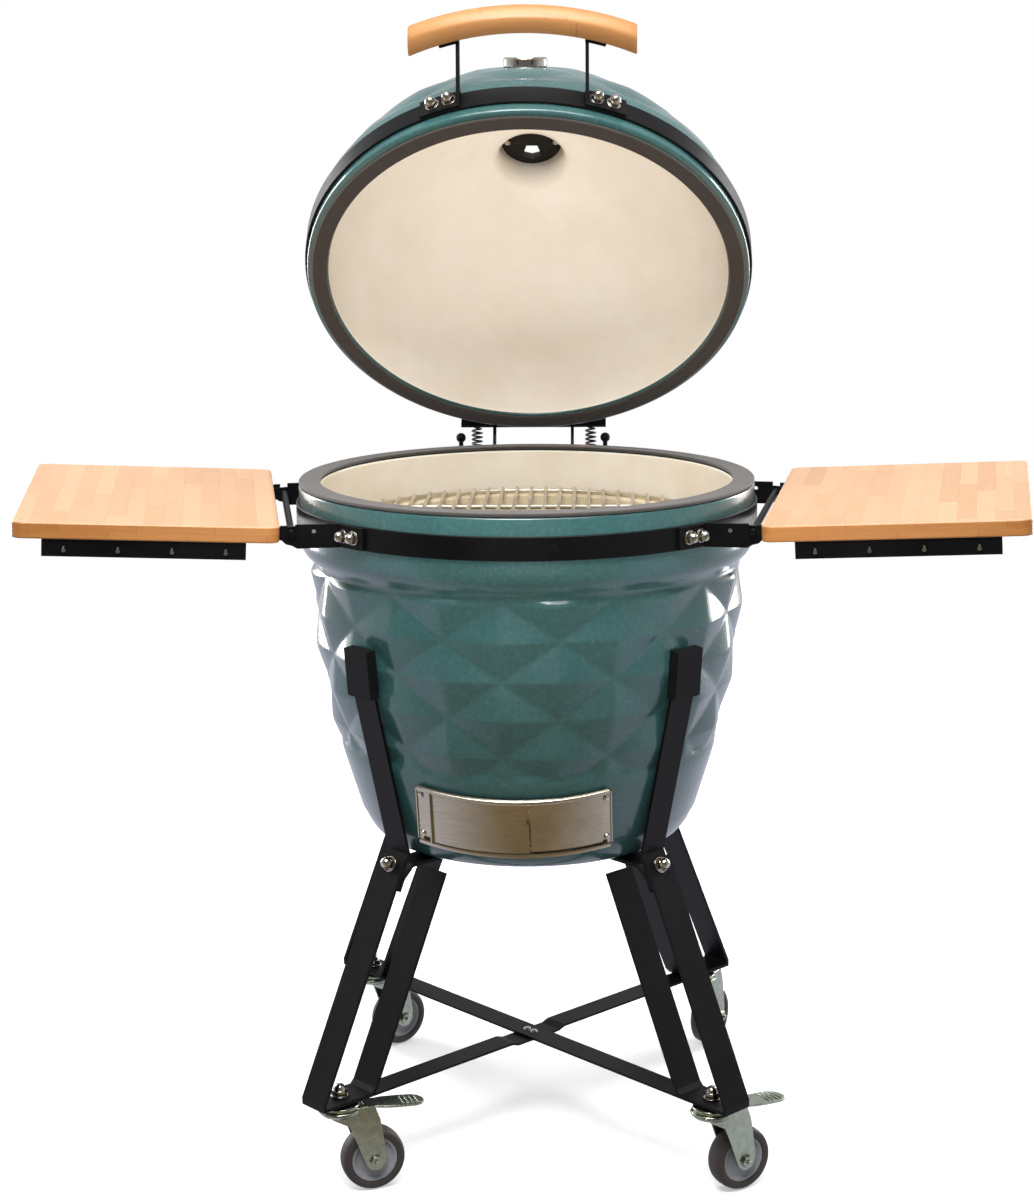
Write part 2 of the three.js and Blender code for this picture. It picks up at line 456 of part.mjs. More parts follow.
// ring under the bowl with a tab folded down to every upright
let base = ring(108, 148, RING_Z, RING_Z + 5, 32);
for (const azimuth of Object.values(corners)) {
  const foot = (z) => arm(z, 2 * (LEG_T / Math.cos(rad(LEG_LEAN)) + GAP) + 0.3);
  base = base.add(spin(strap([[140, RING_Z + 2.5], [foot(377) - 8, RING_Z + 2.5],
    [foot(362) - 1, 362], [foot(348) - 1, 348]], 34, 4), azimuth));
  base = base.add(spin(box(128, 0, RING_Z - 2, 20, 34, 8), azimuth));
}
add('base_ring', base, BLACK, 0.45, 0.4);

// ---- side shelves -------------------------------------------------------------------
const ARM_Y = 150, PIN = 4;
for (const [side, s] of [['left', -1], ['right', 1]]) {
  const turn = (m) => {
    const flipped = s > 0 ? m : m.mirror([1, 0, 0]);
    return flipped.rotate([0, 0, -s * SHELF_SWEEP]);
  };
  // board and rail stand up a little about the fold pin
  const lift = (m) => m.translate([-FOLD_X, 0, -FOLD_Z]).rotate([0, -SHELF_TILT, 0]).translate([FOLD_X, 0, FOLD_Z]);
  const x1 = SHELF_X0 + SHELF_W, h = SHELF_L / 2;
  const board = plate([[SHELF_X0 + 10, -h], [x1 - 14, -h], [x1 - 4, -h + 4], [x1, -h + 14], [x1, h - 14],
    [x1 - 4, h - 4], [x1 - 14, h], [SHELF_X0 + 10, h], [SHELF_X0 + 3, h - 3], [SHELF_X0, h - 10],
    [SHELF_X0, -h + 10], [SHELF_X0 + 3, -h + 3]], SHELF_T).translate([0, 0, SHELF_TOP - SHELF_T]);
  add(`shelf_board_${side}`, turn(lift(board)), BAMBOO, 0.5);
  // rail: two runners under the board with tool pegs, tied by two bars, and the lugs of the fold pin
  const under = SHELF_TOP - SHELF_T - GAP;
  const RUN_X0 = 335, RUN_X1 = 555;
  let rail = union(...[-h + 5, h - 5].map((y) => box((RUN_X0 + RUN_X1) / 2, y, under - 9.5, RUN_X1 - RUN_X0, 3, 19)));
  for (const x of [RUN_X0 + 14, RUN_X1 - 14]) rail = rail.add(box(x, 0, under - 2, 26, SHELF_L - 12, 4));
  for (const y of [-ARM_Y + 9, ARM_Y - 9]) {
    rail = rail.add(plate([[FOLD_X - 7, FOLD_Z - 7], [FOLD_X + 8, FOLD_Z - 9], [RUN_X0 + 24, under - 12],
      [RUN_X0 + 24, under], [FOLD_X + 13, under], [FOLD_X + 12, FOLD_Z + 5], [FOLD_X - 4, FOLD_Z + 7],
      [FOLD_X - 7, FOLD_Z + 3]], 4)
      .rotate([90, 0, 0]).translate([0, y + 2, 0]));
  }
  rail = rail.add(cyl(PIN, 2 * ARM_Y + 12, 16).rotate([90, 0, 0]).translate([FOLD_X, 0, FOLD_Z]));
  for (let k = 0; k < 4; k++) {
    const x = RUN_X0 + 22 + k * 58;
    for (const e of [-1, 1]) {
      rail = rail.add(box(x, e * (h - 1.6), under - 11, 4, 5, 4));
      rail = rail.add(box(x, e * (h + 0.2), under - 9.5, 4, 1.8, 7));
    }
  }
  add(`shelf_rail_${side}`, turn(lift(rail)), BLACK, 0.45, 0.4);
  for (const [end, e] of [['front', -1], ['rear', 1]]) {
    // bracket: flange on the band and a level arm whose slot carries the fold pin
    const y = e * ARM_Y;
    const xb = Math.sqrt(274.5 ** 2 - y * y);
    const a0 = THREE.MathUtils.radToDeg(Math.asin(ARM_Y / 275.5));
    const slot = PIN + 0.4, end0 = 13.5;
    let bracket = plate([[xb, BAND_Z0], [xb, BAND_Z1], [FOLD_X - slot, BAND_Z1],
      [FOLD_X - slot, FOLD_Z - slot], [FOLD_X + slot, FOLD_Z - slot], [FOLD_X + slot, BAND_Z1 - 1],
      [FOLD_X + end0 - 1.5, BAND_Z1 - 1], [FOLD_X + end0, BAND_Z1 - 3], [FOLD_X + end0, FOLD_Z],
      [FOLD_X + end0 * Math.cos(rad(30)), FOLD_Z - end0 * Math.sin(rad(30))],
      [FOLD_X + end0 * Math.cos(rad(60)), FOLD_Z - end0 * Math.sin(rad(60))],
      [FOLD_X, FOLD_Z - end0], [FOLD_X - 6, BAND_Z0]].reverse(), 4, [circle(FOLD_X - 25, FOLD_Z + 2, 2.5, 8)])
      .rotate([90, 0, 0]).translate([0, y + 2, 0]);
    const flange = lathe([[273.7, BAND_Z0 + 1], [277.5, BAND_Z0 + 1], [277.5, BAND_Z1 - 1], [273.7, BAND_Z1 - 1],
      [273.7, BAND_Z0 + 1]], 4, e < 0 ? 90 - a0 - 8.8 : 90 + a0 - 0.6, 9.4);
    bracket = bracket.add(flange);
    for (const da of [2, 5.8]) {
      bracket = bracket.add(spin(acorn(6).rotate([90, 0, 0]).translate([0, -277.2, 771]),
        e < 0 ? 90 - a0 - da : 90 + a0 + da));
    }
    add(`shelf_bracket_${side}_${end}`, turn(bracket), BLACK, 0.45, 0.4);
  }
}

export default group;
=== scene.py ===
import math

import bmesh
import bpy
from mathutils import Matrix, Vector

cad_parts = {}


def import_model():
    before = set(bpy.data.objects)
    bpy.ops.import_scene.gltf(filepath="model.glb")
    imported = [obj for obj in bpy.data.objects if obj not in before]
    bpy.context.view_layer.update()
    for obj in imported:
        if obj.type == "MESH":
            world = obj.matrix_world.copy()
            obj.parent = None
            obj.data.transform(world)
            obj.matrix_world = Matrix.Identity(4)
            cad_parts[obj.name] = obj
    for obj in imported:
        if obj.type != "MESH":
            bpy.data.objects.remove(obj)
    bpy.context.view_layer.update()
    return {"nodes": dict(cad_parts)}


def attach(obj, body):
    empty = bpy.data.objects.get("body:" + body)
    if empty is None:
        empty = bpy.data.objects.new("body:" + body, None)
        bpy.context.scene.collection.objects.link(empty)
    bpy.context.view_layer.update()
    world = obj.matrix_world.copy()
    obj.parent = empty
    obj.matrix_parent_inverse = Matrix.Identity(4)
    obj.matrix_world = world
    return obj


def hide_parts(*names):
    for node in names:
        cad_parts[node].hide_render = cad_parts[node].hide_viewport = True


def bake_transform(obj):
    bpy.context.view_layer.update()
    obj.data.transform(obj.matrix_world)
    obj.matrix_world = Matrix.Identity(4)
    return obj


# Ceramic charcoal grill on a wheeled cart: the visible pieces, their materials, the studio and the camera.
# Shapes are drawn in millimetres about the bowl's axis and scaled to metres as each object is made.
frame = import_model()

# ---- dimensions shared with the solids, in millimetres ------------------------------
Y0 = -36.2                      # bowl axis
RIM_R, RIM_IN, RIM_Z, GAP, FELT = 270.0, 244.0, 804.5, 0.3, 4.0
SEAM = RIM_Z + 2 * GAP + FELT - GAP / 2
HINGE_Y, HINGE_Z, OPEN = 296.4, 790.4, math.radians(49.5)
CONE_Z, CONE_R, SLOPE = 386.0, 194.0, 0.307
CHIMNEY_Z = 262.0
LEG_LEAN = 25.5                 # degrees
LEAN = math.tan(math.radians(LEG_LEAN))
# where each leg stands round the cart, and the heading of its caster
CORNERS = {"front_left": (225, 21), "front_right": (315, 33), "rear_right": (45, 62), "rear_left": (135, 40)}
SWEEP = 9.0                     # degrees a shelf is swung towards the front


def place(rot_z=0.0, move=(0, 0, 0)):
    return Matrix.Translation(Vector(move) + Vector((0, Y0, 0))) @ Matrix.Rotation(math.radians(rot_z), 4, "Z")


WORLD = place()
LID = (Matrix.Translation((0, HINGE_Y + Y0, HINGE_Z)) @ Matrix.Rotation(-OPEN, 4, "X")
       @ Matrix.Translation((0, -HINGE_Y, SEAM - HINGE_Z)))


# ---- mesh helpers -------------------------------------------------------------------
def lathe(profile, seg=128, start=0.0, length=360.0, bump=None):
    """Turned profile [(r, z)...]; azimuth 0 is the front and grows towards +X."""
    full = abs(length - 360.0) < 1e-6
    cols = seg if full else seg + 1
    verts, faces, index = [], [], {}
    for k, (r, z) in enumerate(profile):
        for i in range(cols):
            if r < 1e-6:
                if (k, 0) not in index:
                    index[(k, 0)] = len(verts)
                    verts.append((0.0, 0.0, z))
                index[(k, i)] = index[(k, 0)]
                continue
            a = math.radians(start + length * i / seg)
            rr = r + (bump(math.degrees(a), z, k) if bump else 0.0)
            index[(k, i)] = len(verts)
            verts.append((rr * math.sin(a), -rr * math.cos(a), z))
    for k in range(len(profile) - 1):
        for i in range(seg):
            j = (i + 1) % cols if full else i + 1
            quad = [index[(k, i)], index[(k, j)], index[(k + 1, j)], index[(k + 1, i)]]
            quad = [v for n, v in enumerate(quad) if v != quad[n - 1]]
            if len(set(quad)) > 2:
                faces.append(quad)
    if not full:
        same = profile[0] == profile[-1]
        n = len(profile) - (1 if same else 0)
        faces.append([index[(k, 0)] for k in range(n)])
        faces.append([index[(k, seg)] for k in range(n)][::-1])
    return verts, faces


def prism(points, depth, z=0.0):
    """Flat outline [(x, y)...] given a thickness along +Z."""
    n = len(points)
    verts = [(x, y, z) for x, y in points] + [(x, y, z + depth) for x, y in points]
    faces = [list(range(n))[::-1], [n + i for i in range(n)]]
    faces += [[i, (i + 1) % n, n + (i + 1) % n, n + i] for i in range(n)]
    return verts, faces


def box(cx, cy, cz, sx, sy, sz):
    x, y = sx / 2, sy / 2
    return prism([(cx - x, cy - y), (cx + x, cy - y), (cx + x, cy + y), (cx - x, cy + y)], sz, cz - sz / 2)


def rod(r, length, seg=24, r2=None, chamfer=0.0):
    r2 = r if r2 is None else r2
    c = chamfer
    return lathe([(0, -length / 2), (r - c, -length / 2), (r, -length / 2 + c), (r2, length / 2 - c),
                  (r2 - c, length / 2), (0, length / 2)] if c else
                 [(0, -length / 2), (r, -length / 2), (r2, length / 2), (0, length / 2)], seg)


def tube(points, radius, seg=10, closed=False):
    """Round wire along a list of points."""
    verts, faces = [], []
    pts = [Vector(p) for p in points]
    n = len(pts)
    up = None
    for i, p in enumerate(pts):
        a = pts[(i - 1) % n] if (closed or i) else p
        b = pts[(i + 1) % n] if (closed or i < n - 1) else p
        t = (b - a).normalized()
        if up is None:
            up = t.orthogonal().normalized()
        up = (up - t * up.dot(t)).normalized()
        side = t.cross(up)
        for s in range(seg):
            w = 2 * math.pi * s / seg
            verts.append(tuple(p + radius * (math.cos(w) * up + math.sin(w) * side)))
    for i in range(n if closed else n - 1):
        j = (i + 1) % n
        for s in range(seg):
            t = (s + 1) % seg
            faces.append([i * seg + s, j * seg + s, j * seg + t, i * seg + t])
    if not closed:
        faces.append(list(range(seg))[::-1])
        faces.append([(n - 1) * seg + s for s in range(seg)])
    return verts, faces


def moved(mesh, matrix):
    verts, faces = mesh
    return [tuple(matrix @ Vector(v)) for v in verts], faces


def turn(axis, degrees):
    return Matrix.Rotation(math.radians(degrees), 4, axis)


def shift(x, y, z):
    return Matrix.Translation((x, y, z))


def hexagon(r):
    return [(r * math.cos(math.pi * k / 3), r * math.sin(math.pi * k / 3)) for k in range(6)]


def acorn(r=6.6):
    """Hexagon nut with a dome and a washer; base on z = 0."""
    washer = lathe([(0, 0), (r * 1.25, 0), (r * 1.25, r * 0.18), (0, r * 0.18)], 28)
    nut = prism(hexagon(r * 1.1), r * 0.75, r * 0.18)
    cap = [(r * 0.93 * math.cos(a), r * 0.93 + r * 0.95 * math.sin(a))
           for a in (math.pi / 2 * t / 8 for t in range(9))]
    dome = lathe([(0, r * 0.9), (r * 0.93, r * 0.9)] + cap[:-1] + [(0, r * 1.88)], 28)
    return [washer, nut, dome]


def bevel_edges(o, width):
    b = o.modifiers.new("edges", "BEVEL")
    b.width, b.segments, b.limit_method, b.angle_limit = width / 1000, 2, "ANGLE", math.radians(28)


def obj(name, meshes, matrix=WORLD, material=None, body="grill", node=(),
        bevel=0.0, sharp=32.0, smooth=True):
    """One piece from meshes in millimetres: its body, the node it stands for and its finish."""
    bm = bmesh.new()
    for verts, faces in meshes:
        vs = [bm.verts.new(matrix @ Vector(v)) for v in verts]
        for f in faces:
            try:
                bm.faces.new([vs[i] for i in f])
            except ValueError:
                pass
    bmesh.ops.scale(bm, vec=(0.001, 0.001, 0.001), verts=bm.verts)
    bmesh.ops.remove_doubles(bm, verts=bm.verts, dist=1e-7)
    bmesh.ops.recalc_face_normals(bm, faces=bm.faces)
    me = bpy.data.meshes.new(name)
    bm.to_mesh(me)
    bm.free()
    o = bpy.data.objects.new(name, me)
    bpy.context.scene.collection.objects.link(o)
    if material:
        me.materials.append(material)
    for p in me.polygons:
        p.use_smooth = smooth
    if bevel:
        bevel_edges(o, bevel)
    if smooth:
        me.set_sharp_from_angle(angle=math.radians(sharp if not bevel else 50))
    if body:
        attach(o, body)
    if node:
        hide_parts(*([node] if isinstance(node, str) else node))
    return o


# ---- materials ----------------------------------------------------------------------
def lin(rgb):
    return tuple((c / 255 / 12.92) if c / 255 <= 0.04045 else ((c / 255 + 0.055) / 1.055) ** 2.4
                 for c in rgb) + (1,)


class Mat:
    """A Principled material whose colour, roughness and bump come from stacked procedural textures."""

    def __init__(self, name, rough=0.5, metal=0.0, **sockets):
        self.m = bpy.data.materials.new(name)
        self.m.use_nodes = True
        self.t = self.m.node_tree
        self.b = self.t.nodes["Principled BSDF"]
        self.b.inputs["Roughness"].default_value = rough
        self.b.inputs["Metallic"].default_value = metal
        for k, v in sockets.items():
            self.b.inputs[k.replace("_", " ")].default_value = v
        self.co = self.t.nodes.new("ShaderNodeTexCoord").outputs["Object"]
        self.normal = None

    def link(self, a, b):
        self.t.links.new(a, b)

    def stretch(self, scale=(1, 1, 1), rot=(0, 0, 0), co=None):
        n = self.t.nodes.new("ShaderNodeMapping")
        n.inputs["Scale"].default_value = scale
        n.inputs["Rotation"].default_value = [math.radians(v) for v in rot]
        self.link(co or self.co, n.inputs["Vector"])
        return n.outputs["Vector"]

    def noise(self, scale, detail=4.0, rough=0.55, co=None):
        n = self.t.nodes.new("ShaderNodeTexNoise")
        n.inputs["Scale"].default_value = scale
        n.inputs["Detail"].default_value = detail
        n.inputs["Roughness"].default_value = rough
        self.link(co or self.co, n.inputs["Vector"])
        return n.outputs["Fac"]

    def voronoi(self, scale):
        n = self.t.nodes.new("ShaderNodeTexVoronoi")
        n.inputs["Scale"].default_value = scale
        self.link(self.co, n.inputs["Vector"])
        return n.outputs["Distance"]

    def ramp(self, fac, stops):
        n = self.t.nodes.new("ShaderNodeValToRGB")
        e = n.color_ramp.elements
        while len(e) < len(stops):
            e.new(0.5)
        for k, (pos, colour) in enumerate(stops):
            e[k].position = pos
            e[k].color = colour if len(colour) == 4 else lin(colour)
        self.link(fac, n.inputs["Fac"])
        return n.outputs["Color"]

    def math(self, op, a, b=None):
        n = self.t.nodes.new("ShaderNodeMath")
        n.operation = op
        for k, v in enumerate((a, b)):
            if v is None:
                continue
            if isinstance(v, (int, float)):
                n.inputs[k].default_value = v
            else:
                self.link(v, n.inputs[k])
        return n.outputs[0]

    def off_centre(self, value):
        """How far a repeating value is from the middle of its cell, 0 to 0.5."""
        return self.math("ABSOLUTE", self.math("SUBTRACT", self.math("FRACT", value), 0.5))

    def mix(self, fac, a, b):
        n = self.t.nodes.new("ShaderNodeMix")
        n.data_type = "RGBA"
        for key, v in (("Factor", fac), ("A", a), ("B", b)):
            kind = "VALUE" if key == "Factor" else "RGBA"
            s = [i for i in n.inputs if i.name == key and i.type == kind][0]
            if isinstance(v, (int, float)):
                s.default_value = v
            elif isinstance(v, tuple):
                s.default_value = v if len(v) == 4 else lin(v)
            else:
                self.link(v, s)
        return [o for o in n.outputs if o.type == "RGBA"][0]

    def separate(self):
        n = self.t.nodes.new("ShaderNodeSeparateXYZ")
        self.link(self.co, n.inputs[0])
        return n.outputs

    def combine(self, x, y, z):
        n = self.t.nodes.new("ShaderNodeCombineXYZ")
        for k, v in enumerate((x, y, z)):
            if isinstance(v, (int, float)):
                n.inputs[k].default_value = v
            else:
                self.link(v, n.inputs[k])
        return n.outputs[0]

    def random(self, co):
        n = self.t.nodes.new("ShaderNodeTexWhiteNoise")
        n.noise_dimensions = "3D"
        self.link(co, n.inputs["Vector"])
        return n.outputs["Value"]

    def bump(self, height, strength=0.3, distance=0.001):
        n = self.t.nodes.new("ShaderNodeBump")
        n.inputs["Strength"].default_value = strength
        n.inputs["Distance"].default_value = distance
        self.link(height, n.inputs["Height"])
        if self.normal:
            self.link(self.normal, n.inputs["Normal"])
        self.normal = n.outputs["Normal"]
        self.link(self.normal, self.b.inputs["Normal"])

    def colour(self, c):
        self.link(c, self.b.inputs["Base Color"])
        return self

    def roughness(self, fac, lo, hi):
        n = self.t.nodes.new("ShaderNodeMapRange")
        n.inputs["To Min"].default_value = lo
        n.inputs["To Max"].default_value = hi
        self.link(fac, n.inputs["Value"])
        self.link(n.outputs["Result"], self.b.inputs["Roughness"])


def glaze_material():
    k = Mat("glaze", 0.24, Coat_Weight=0.5, Coat_Roughness=0.07)
    broad = k.noise(7, 5, 0.6)
    fine = k.noise(210, 5, 0.7)
    base = k.ramp(broad, [(0.32, (48, 85, 84)), (0.5, (55, 93, 92)), (0.68, (64, 102, 101))])
    mottle = k.ramp(fine, [(0.34, (42, 76, 75)), (0.52, (56, 94, 93)), (0.72, (74, 114, 113))])
    k.colour(k.mix(0.38, base, mottle))
    k.roughness(fine, 0.18, 0.32)
    k.bump(k.noise(95, 3, 0.5), 0.09, 0.001)
    k.bump(fine, 0.06, 0.0005)
    return k.m


def cream_material(name, low, high):
    k = Mat(name, 0.62, Specular_IOR_Level=0.35)
    n = k.noise(14, 6, 0.6)
    c = k.ramp(n, [(0.3, low), (0.7, high)])
    speck = k.ramp(k.voronoi(75), [(0.03, (1, 1, 1, 1)), (0.075, (0, 0, 0, 1))])
    pick = k.ramp(k.noise(30, 2), [(0.56, (0, 0, 0, 1)), (0.66, (1, 1, 1, 1))])
    c = k.mix(k.math("MULTIPLY", k.math("MULTIPLY", speck, pick), 0.4), c, (150, 116, 84))
    smudge = k.ramp(k.noise(5, 4, 0.5), [(0.45, (0, 0, 0, 1)), (0.75, (1, 1, 1, 1))])
    c = k.mix(k.math("MULTIPLY", smudge, 0.18), c, tuple(int(v * 0.84) for v in low))
    k.colour(c)
    k.bump(k.noise(220, 4), 0.12, 0.0008)
    return k.m


def felt_material(name, a, b, stain=None):
    k = Mat(name, 0.95, Sheen_Weight=0.25, Sheen_Roughness=0.6)
    weave = k.noise(650, 3, 0.7)
    c = k.ramp(weave, [(0.3, a), (0.7, b)])
    c = k.mix(k.math("MULTIPLY", k.noise(22, 4), 0.35), c, tuple(min(255, int(v * 1.35)) for v in b))
    if stain:
        x, y, z = k.separate()
        dx = k.math("SUBTRACT", x, stain[0])
        dy = k.math("SUBTRACT", y, stain[1])
        d = k.math("SQRT", k.math("ADD", k.math("MULTIPLY", dx, dx), k.math("MULTIPLY", dy, dy)))
        d = k.math("ADD", d, k.math("MULTIPLY", k.noise(90, 3), 0.012))
        f = k.ramp(d, [(0.012, (1, 1, 1, 1)), (0.024, (0, 0, 0, 1))])
        c = k.mix(k.math("MULTIPLY", f, 0.85), c, (122, 66, 28))
    k.colour(c)
    k.bump(weave, 0.5, 0.0006)
    k.bump(k.voronoi(900), 0.25, 0.0004)
    return k.m


def painted_material():
    k = Mat("black_steel", 0.45, 0.0, Specular_IOR_Level=0.15)
    n = k.noise(900, 2, 0.5)
    broad = k.noise(12, 4)
    c = k.ramp(broad, [(0.35, (8, 8, 9)), (0.7, (15, 15, 16))])
    dust = k.ramp(k.noise(60, 5, 0.7), [(0.62, (0, 0, 0, 1)), (0.8, (1, 1, 1, 1))])
    c = k.mix(k.math("MULTIPLY", dust, 0.06), c, (110, 106, 100))
    k.colour(c)
    k.roughness(broad, 0.38, 0.52)
    k.bump(n, 0.22, 0.0004)
    return k.m


def steel_material(name, tint, rough, streak=(1, 1, 60), grain=0.35, metal=1.0):
    k = Mat(name, rough, metal)
    lines = k.noise(40, 6, 0.75, k.stretch(streak))
    blotch = k.noise(18, 4)
    lo = tuple(int(v * 0.80) for v in tint)
    hi = tuple(min(255, int(v * 1.12)) for v in tint)
    c = k.mix(0.35, k.ramp(lines, [(0.3, lo), (0.7, hi)]), k.ramp(blotch, [(0.3, lo), (0.7, tint)]))
    k.colour(c)
    k.roughness(lines, rough * 0.75, rough * 1.3)
    k.bump(lines, grain, 0.0002)
    return k.m


def perforated_material():
    k = Mat("perforated", 0.24, 1.0)
    x, y, z = k.separate()
    wall_r, pitch = 0.22, 0.003
    depth = k.math("SUBTRACT", 0.0, k.math("SUBTRACT", y, Y0 / 1000))
    across = k.math("SINE", k.math("MULTIPLY", k.math("ARCTAN2", x, depth), 2 * math.pi * wall_r / pitch))
    down = k.math("SINE", k.math("MULTIPLY", z, 2 * math.pi / pitch))
    holes = k.ramp(k.math("MULTIPLY", across, down), [(0.55, (0, 0, 0, 1)), (0.7, (1, 1, 1, 1))])
    tone = k.ramp(k.noise(30, 4), [(0.3, (186, 178, 160)), (0.7, (206, 199, 182))])
    k.colour(k.mix(k.math("MULTIPLY", holes, 0.5), tone, (60, 54, 44)))
    k.roughness(k.noise(40, 4), 0.2, 0.32)
    k.bump(holes, 0.2, 0.0006)
    return k.m


def iron_material():
    k = Mat("cast_iron", 0.72, 0.35)
    n = k.noise(320, 5, 0.7)
    c = k.ramp(n, [(0.3, (18, 17, 16)), (0.7, (46, 43, 40))])
    rust = k.ramp(k.noise(26, 5, 0.7), [(0.6, (0, 0, 0, 1)), (0.78, (1, 1, 1, 1))])
    k.colour(k.mix(k.math("MULTIPLY", rust, 0.25), c, (92, 58, 34)))
    k.bump(n, 0.6, 0.0008)
    return k.m


def bamboo_material(name, across, along, up, light, mid, dark, strip=0.0185, length=0.32, gloss=0.42,
                    turns=(), offset=0.0):
    """Laminated strips. across/along/up pick the piece's own axes, reached through the given turns."""
    k = Mat(name, gloss, Coat_Weight=0.15, Coat_Roughness=0.3)
    for t in turns:
        k.co = k.stretch(rot=t, co=k.co)
    s = k.separate()
    u, v, w = k.math("ADD", s[across], offset), s[along], s[up]
    col = k.math("FLOOR", k.math("DIVIDE", u, strip))
    slip = k.math("MULTIPLY", k.random(k.combine(col, 3.0, 1.0)), length)
    row = k.math("FLOOR", k.math("DIVIDE", k.math("ADD", v, slip), length))
    tone = k.random(k.combine(col, row, 0.0))
    c = k.ramp(tone, [(0.0, mid), (0.5, light), (1.0, mid)])
    fibre_co = k.combine(k.math("MULTIPLY", u, 900.0), k.math("MULTIPLY", v, 14.0), k.math("MULTIPLY", w, 900.0))
    fibre = k.noise(1.0, 4, 0.6, fibre_co)
    c = k.mix(0.22, c, k.ramp(fibre, [(0.35, dark), (0.65, light)]))
    edge = k.off_centre(k.math("DIVIDE", u, strip))
    seam = k.ramp(edge, [(0.475, (0, 0, 0, 1)), (0.495, (1, 1, 1, 1))])
    joint = k.off_centre(k.math("DIVIDE", k.math("ADD", v, slip), length))
    butt = k.ramp(joint, [(0.494, (0, 0, 0, 1)), (0.4985, (1, 1, 1, 1))])
    spread = k.math("ADD", v, k.math("MULTIPLY", slip, 2.7))
    knot = k.ramp(k.off_centre(k.math("DIVIDE", spread, length * 0.62)),
                  [(0.0, (1, 1, 1, 1)), (0.012, (0, 0, 0, 1))])
    c = k.mix(k.math("MULTIPLY", seam, 0.34), c, dark)
    c = k.mix(k.math("MULTIPLY", butt, 0.5), c, dark)
    c = k.mix(k.math("MULTIPLY", knot, 0.2), c, dark)
    k.colour(c)
    k.roughness(fibre, gloss * 0.8, gloss * 1.25)
    k.bump(fibre, 0.10, 0.0003)
    k.bump(seam, -0.15, 0.0003)
    return k.m


def plastic_material(name, a, b, rough=0.5, grain=500):
    k = Mat(name, rough)
    n = k.noise(grain, 3)
    broad = k.noise(20, 4)
    k.colour(k.mix(0.3, k.ramp(broad, [(0.3, a), (0.7, b)]), k.ramp(n, [(0.3, a), (0.7, b)])))
    k.roughness(broad, rough * 0.85, rough * 1.15)
    k.bump(n, 0.15, 0.0004)
    return k.m


GLAZE = glaze_material()
CREAM = cream_material("cream_inside", (240, 228, 206), (250, 242, 228))
BRICK = cream_material("firebrick", (206, 190, 160), (232, 218, 190))
FELT_LOW = felt_material("felt_bowl", (34, 31, 28), (62, 56, 51), stain=(0.064, 0.218))
FELT_TOP = felt_material("felt_lid", (34, 29, 25), (58, 50, 43), stain=(0.062, 0.262))
BLACK = painted_material()
STAINLESS = steel_material("stainless", (198, 190, 172), 0.22, (1, 1, 60))
POLISHED = steel_material("polished", (216, 210, 200), 0.12, (30, 30, 1), 0.05)
PERFORATED = perforated_material()
WIRE = steel_material("grid_wire", (226, 220, 206), 0.36, (1, 1, 1), 0.15)
ZINC = steel_material("zinc", (176, 184, 166), 0.26, (3, 3, 3), 0.15)
NUT = steel_material("nut_steel", (205, 200, 190), 0.16, (2, 2, 2), 0.08)
SPRING = steel_material("spring_steel", (84, 84, 86), 0.34, (1, 1, 20), 0.2)
IRON = iron_material()
PAD = plastic_material("pad_rubber", (13, 13, 14), (22, 22, 23), 0.6, 300)
PAD.node_tree.nodes["Principled BSDF"].inputs["Specular IOR Level"].default_value = 0.18
TYRE = plastic_material("tyre_rubber", (54, 48, 45), (74, 67, 62), 0.62, 260)
HUB = plastic_material("hub_plastic", (140, 143, 148), (166, 168, 172), 0.45, 420)
GRIP = bamboo_material("bamboo_grip", 2, 0, 1, (190, 136, 82), (172, 116, 62), (128, 76, 34), 0.0094, 0.21, 0.4,
                       turns=[(math.degrees(OPEN), 0, 0)])
DIAL = plastic_material("dial_face", (214, 212, 206), (232, 230, 224), 0.4)

# ---- bowl and lid, with the raised diamond pattern ------------------------------------
ROW, ROW_Z = 46.0, 477.0          # height of a row of pyramids, and the middle of one row
PITCH, PHASE = 30.0, -5.3         # degrees from one pyramid to the next, and where they start
RELIEF = 8.2                      # height of a pyramid on the bowl
LID_RELIEF, LID_SINK = 4.2, 3.2   # height of one on the lid, and how far its base lies under the dome


def samples(points, step):
    """A profile with extra points so that no piece is longer than step."""
    out = [points[0]]
    for (r0, z0), (r1, z1) in zip(points, points[1:]):
        n = max(1, math.ceil(math.hypot(r1 - r0, z1 - z0) / step))
        out += [(r0 + (r1 - r0) * i / n, z0 + (z1 - z0) * i / n) for i in range(1, n + 1)]
    return out


def cone_r(z):
    return CONE_R + (z - CONE_Z) * SLOPE


def smooth(points, n=6):
    """Catmull-Rom through the points."""
    out = []
    for i in range(len(points) - 1):
        p0, p1, p2 = points[max(0, i - 1)], points[i], points[i + 1]
        p3 = points[min(len(points) - 1, i + 2)]
        for k in range(n):
            t = k / n
            out.append(tuple(0.5 * (2 * p1[c] + (p2[c] - p0[c]) * t
                                    + (2 * p0[c] - 5 * p1[c] + 4 * p2[c] - p3[c]) * t * t
                                    + (3 * p1[c] - p0[c] - 3 * p2[c] + p3[c]) * t ** 3) for c in (0, 1)))
    return out + [points[-1]]


BODY_Z0, BODY_Z1 = 501.0, 712.0
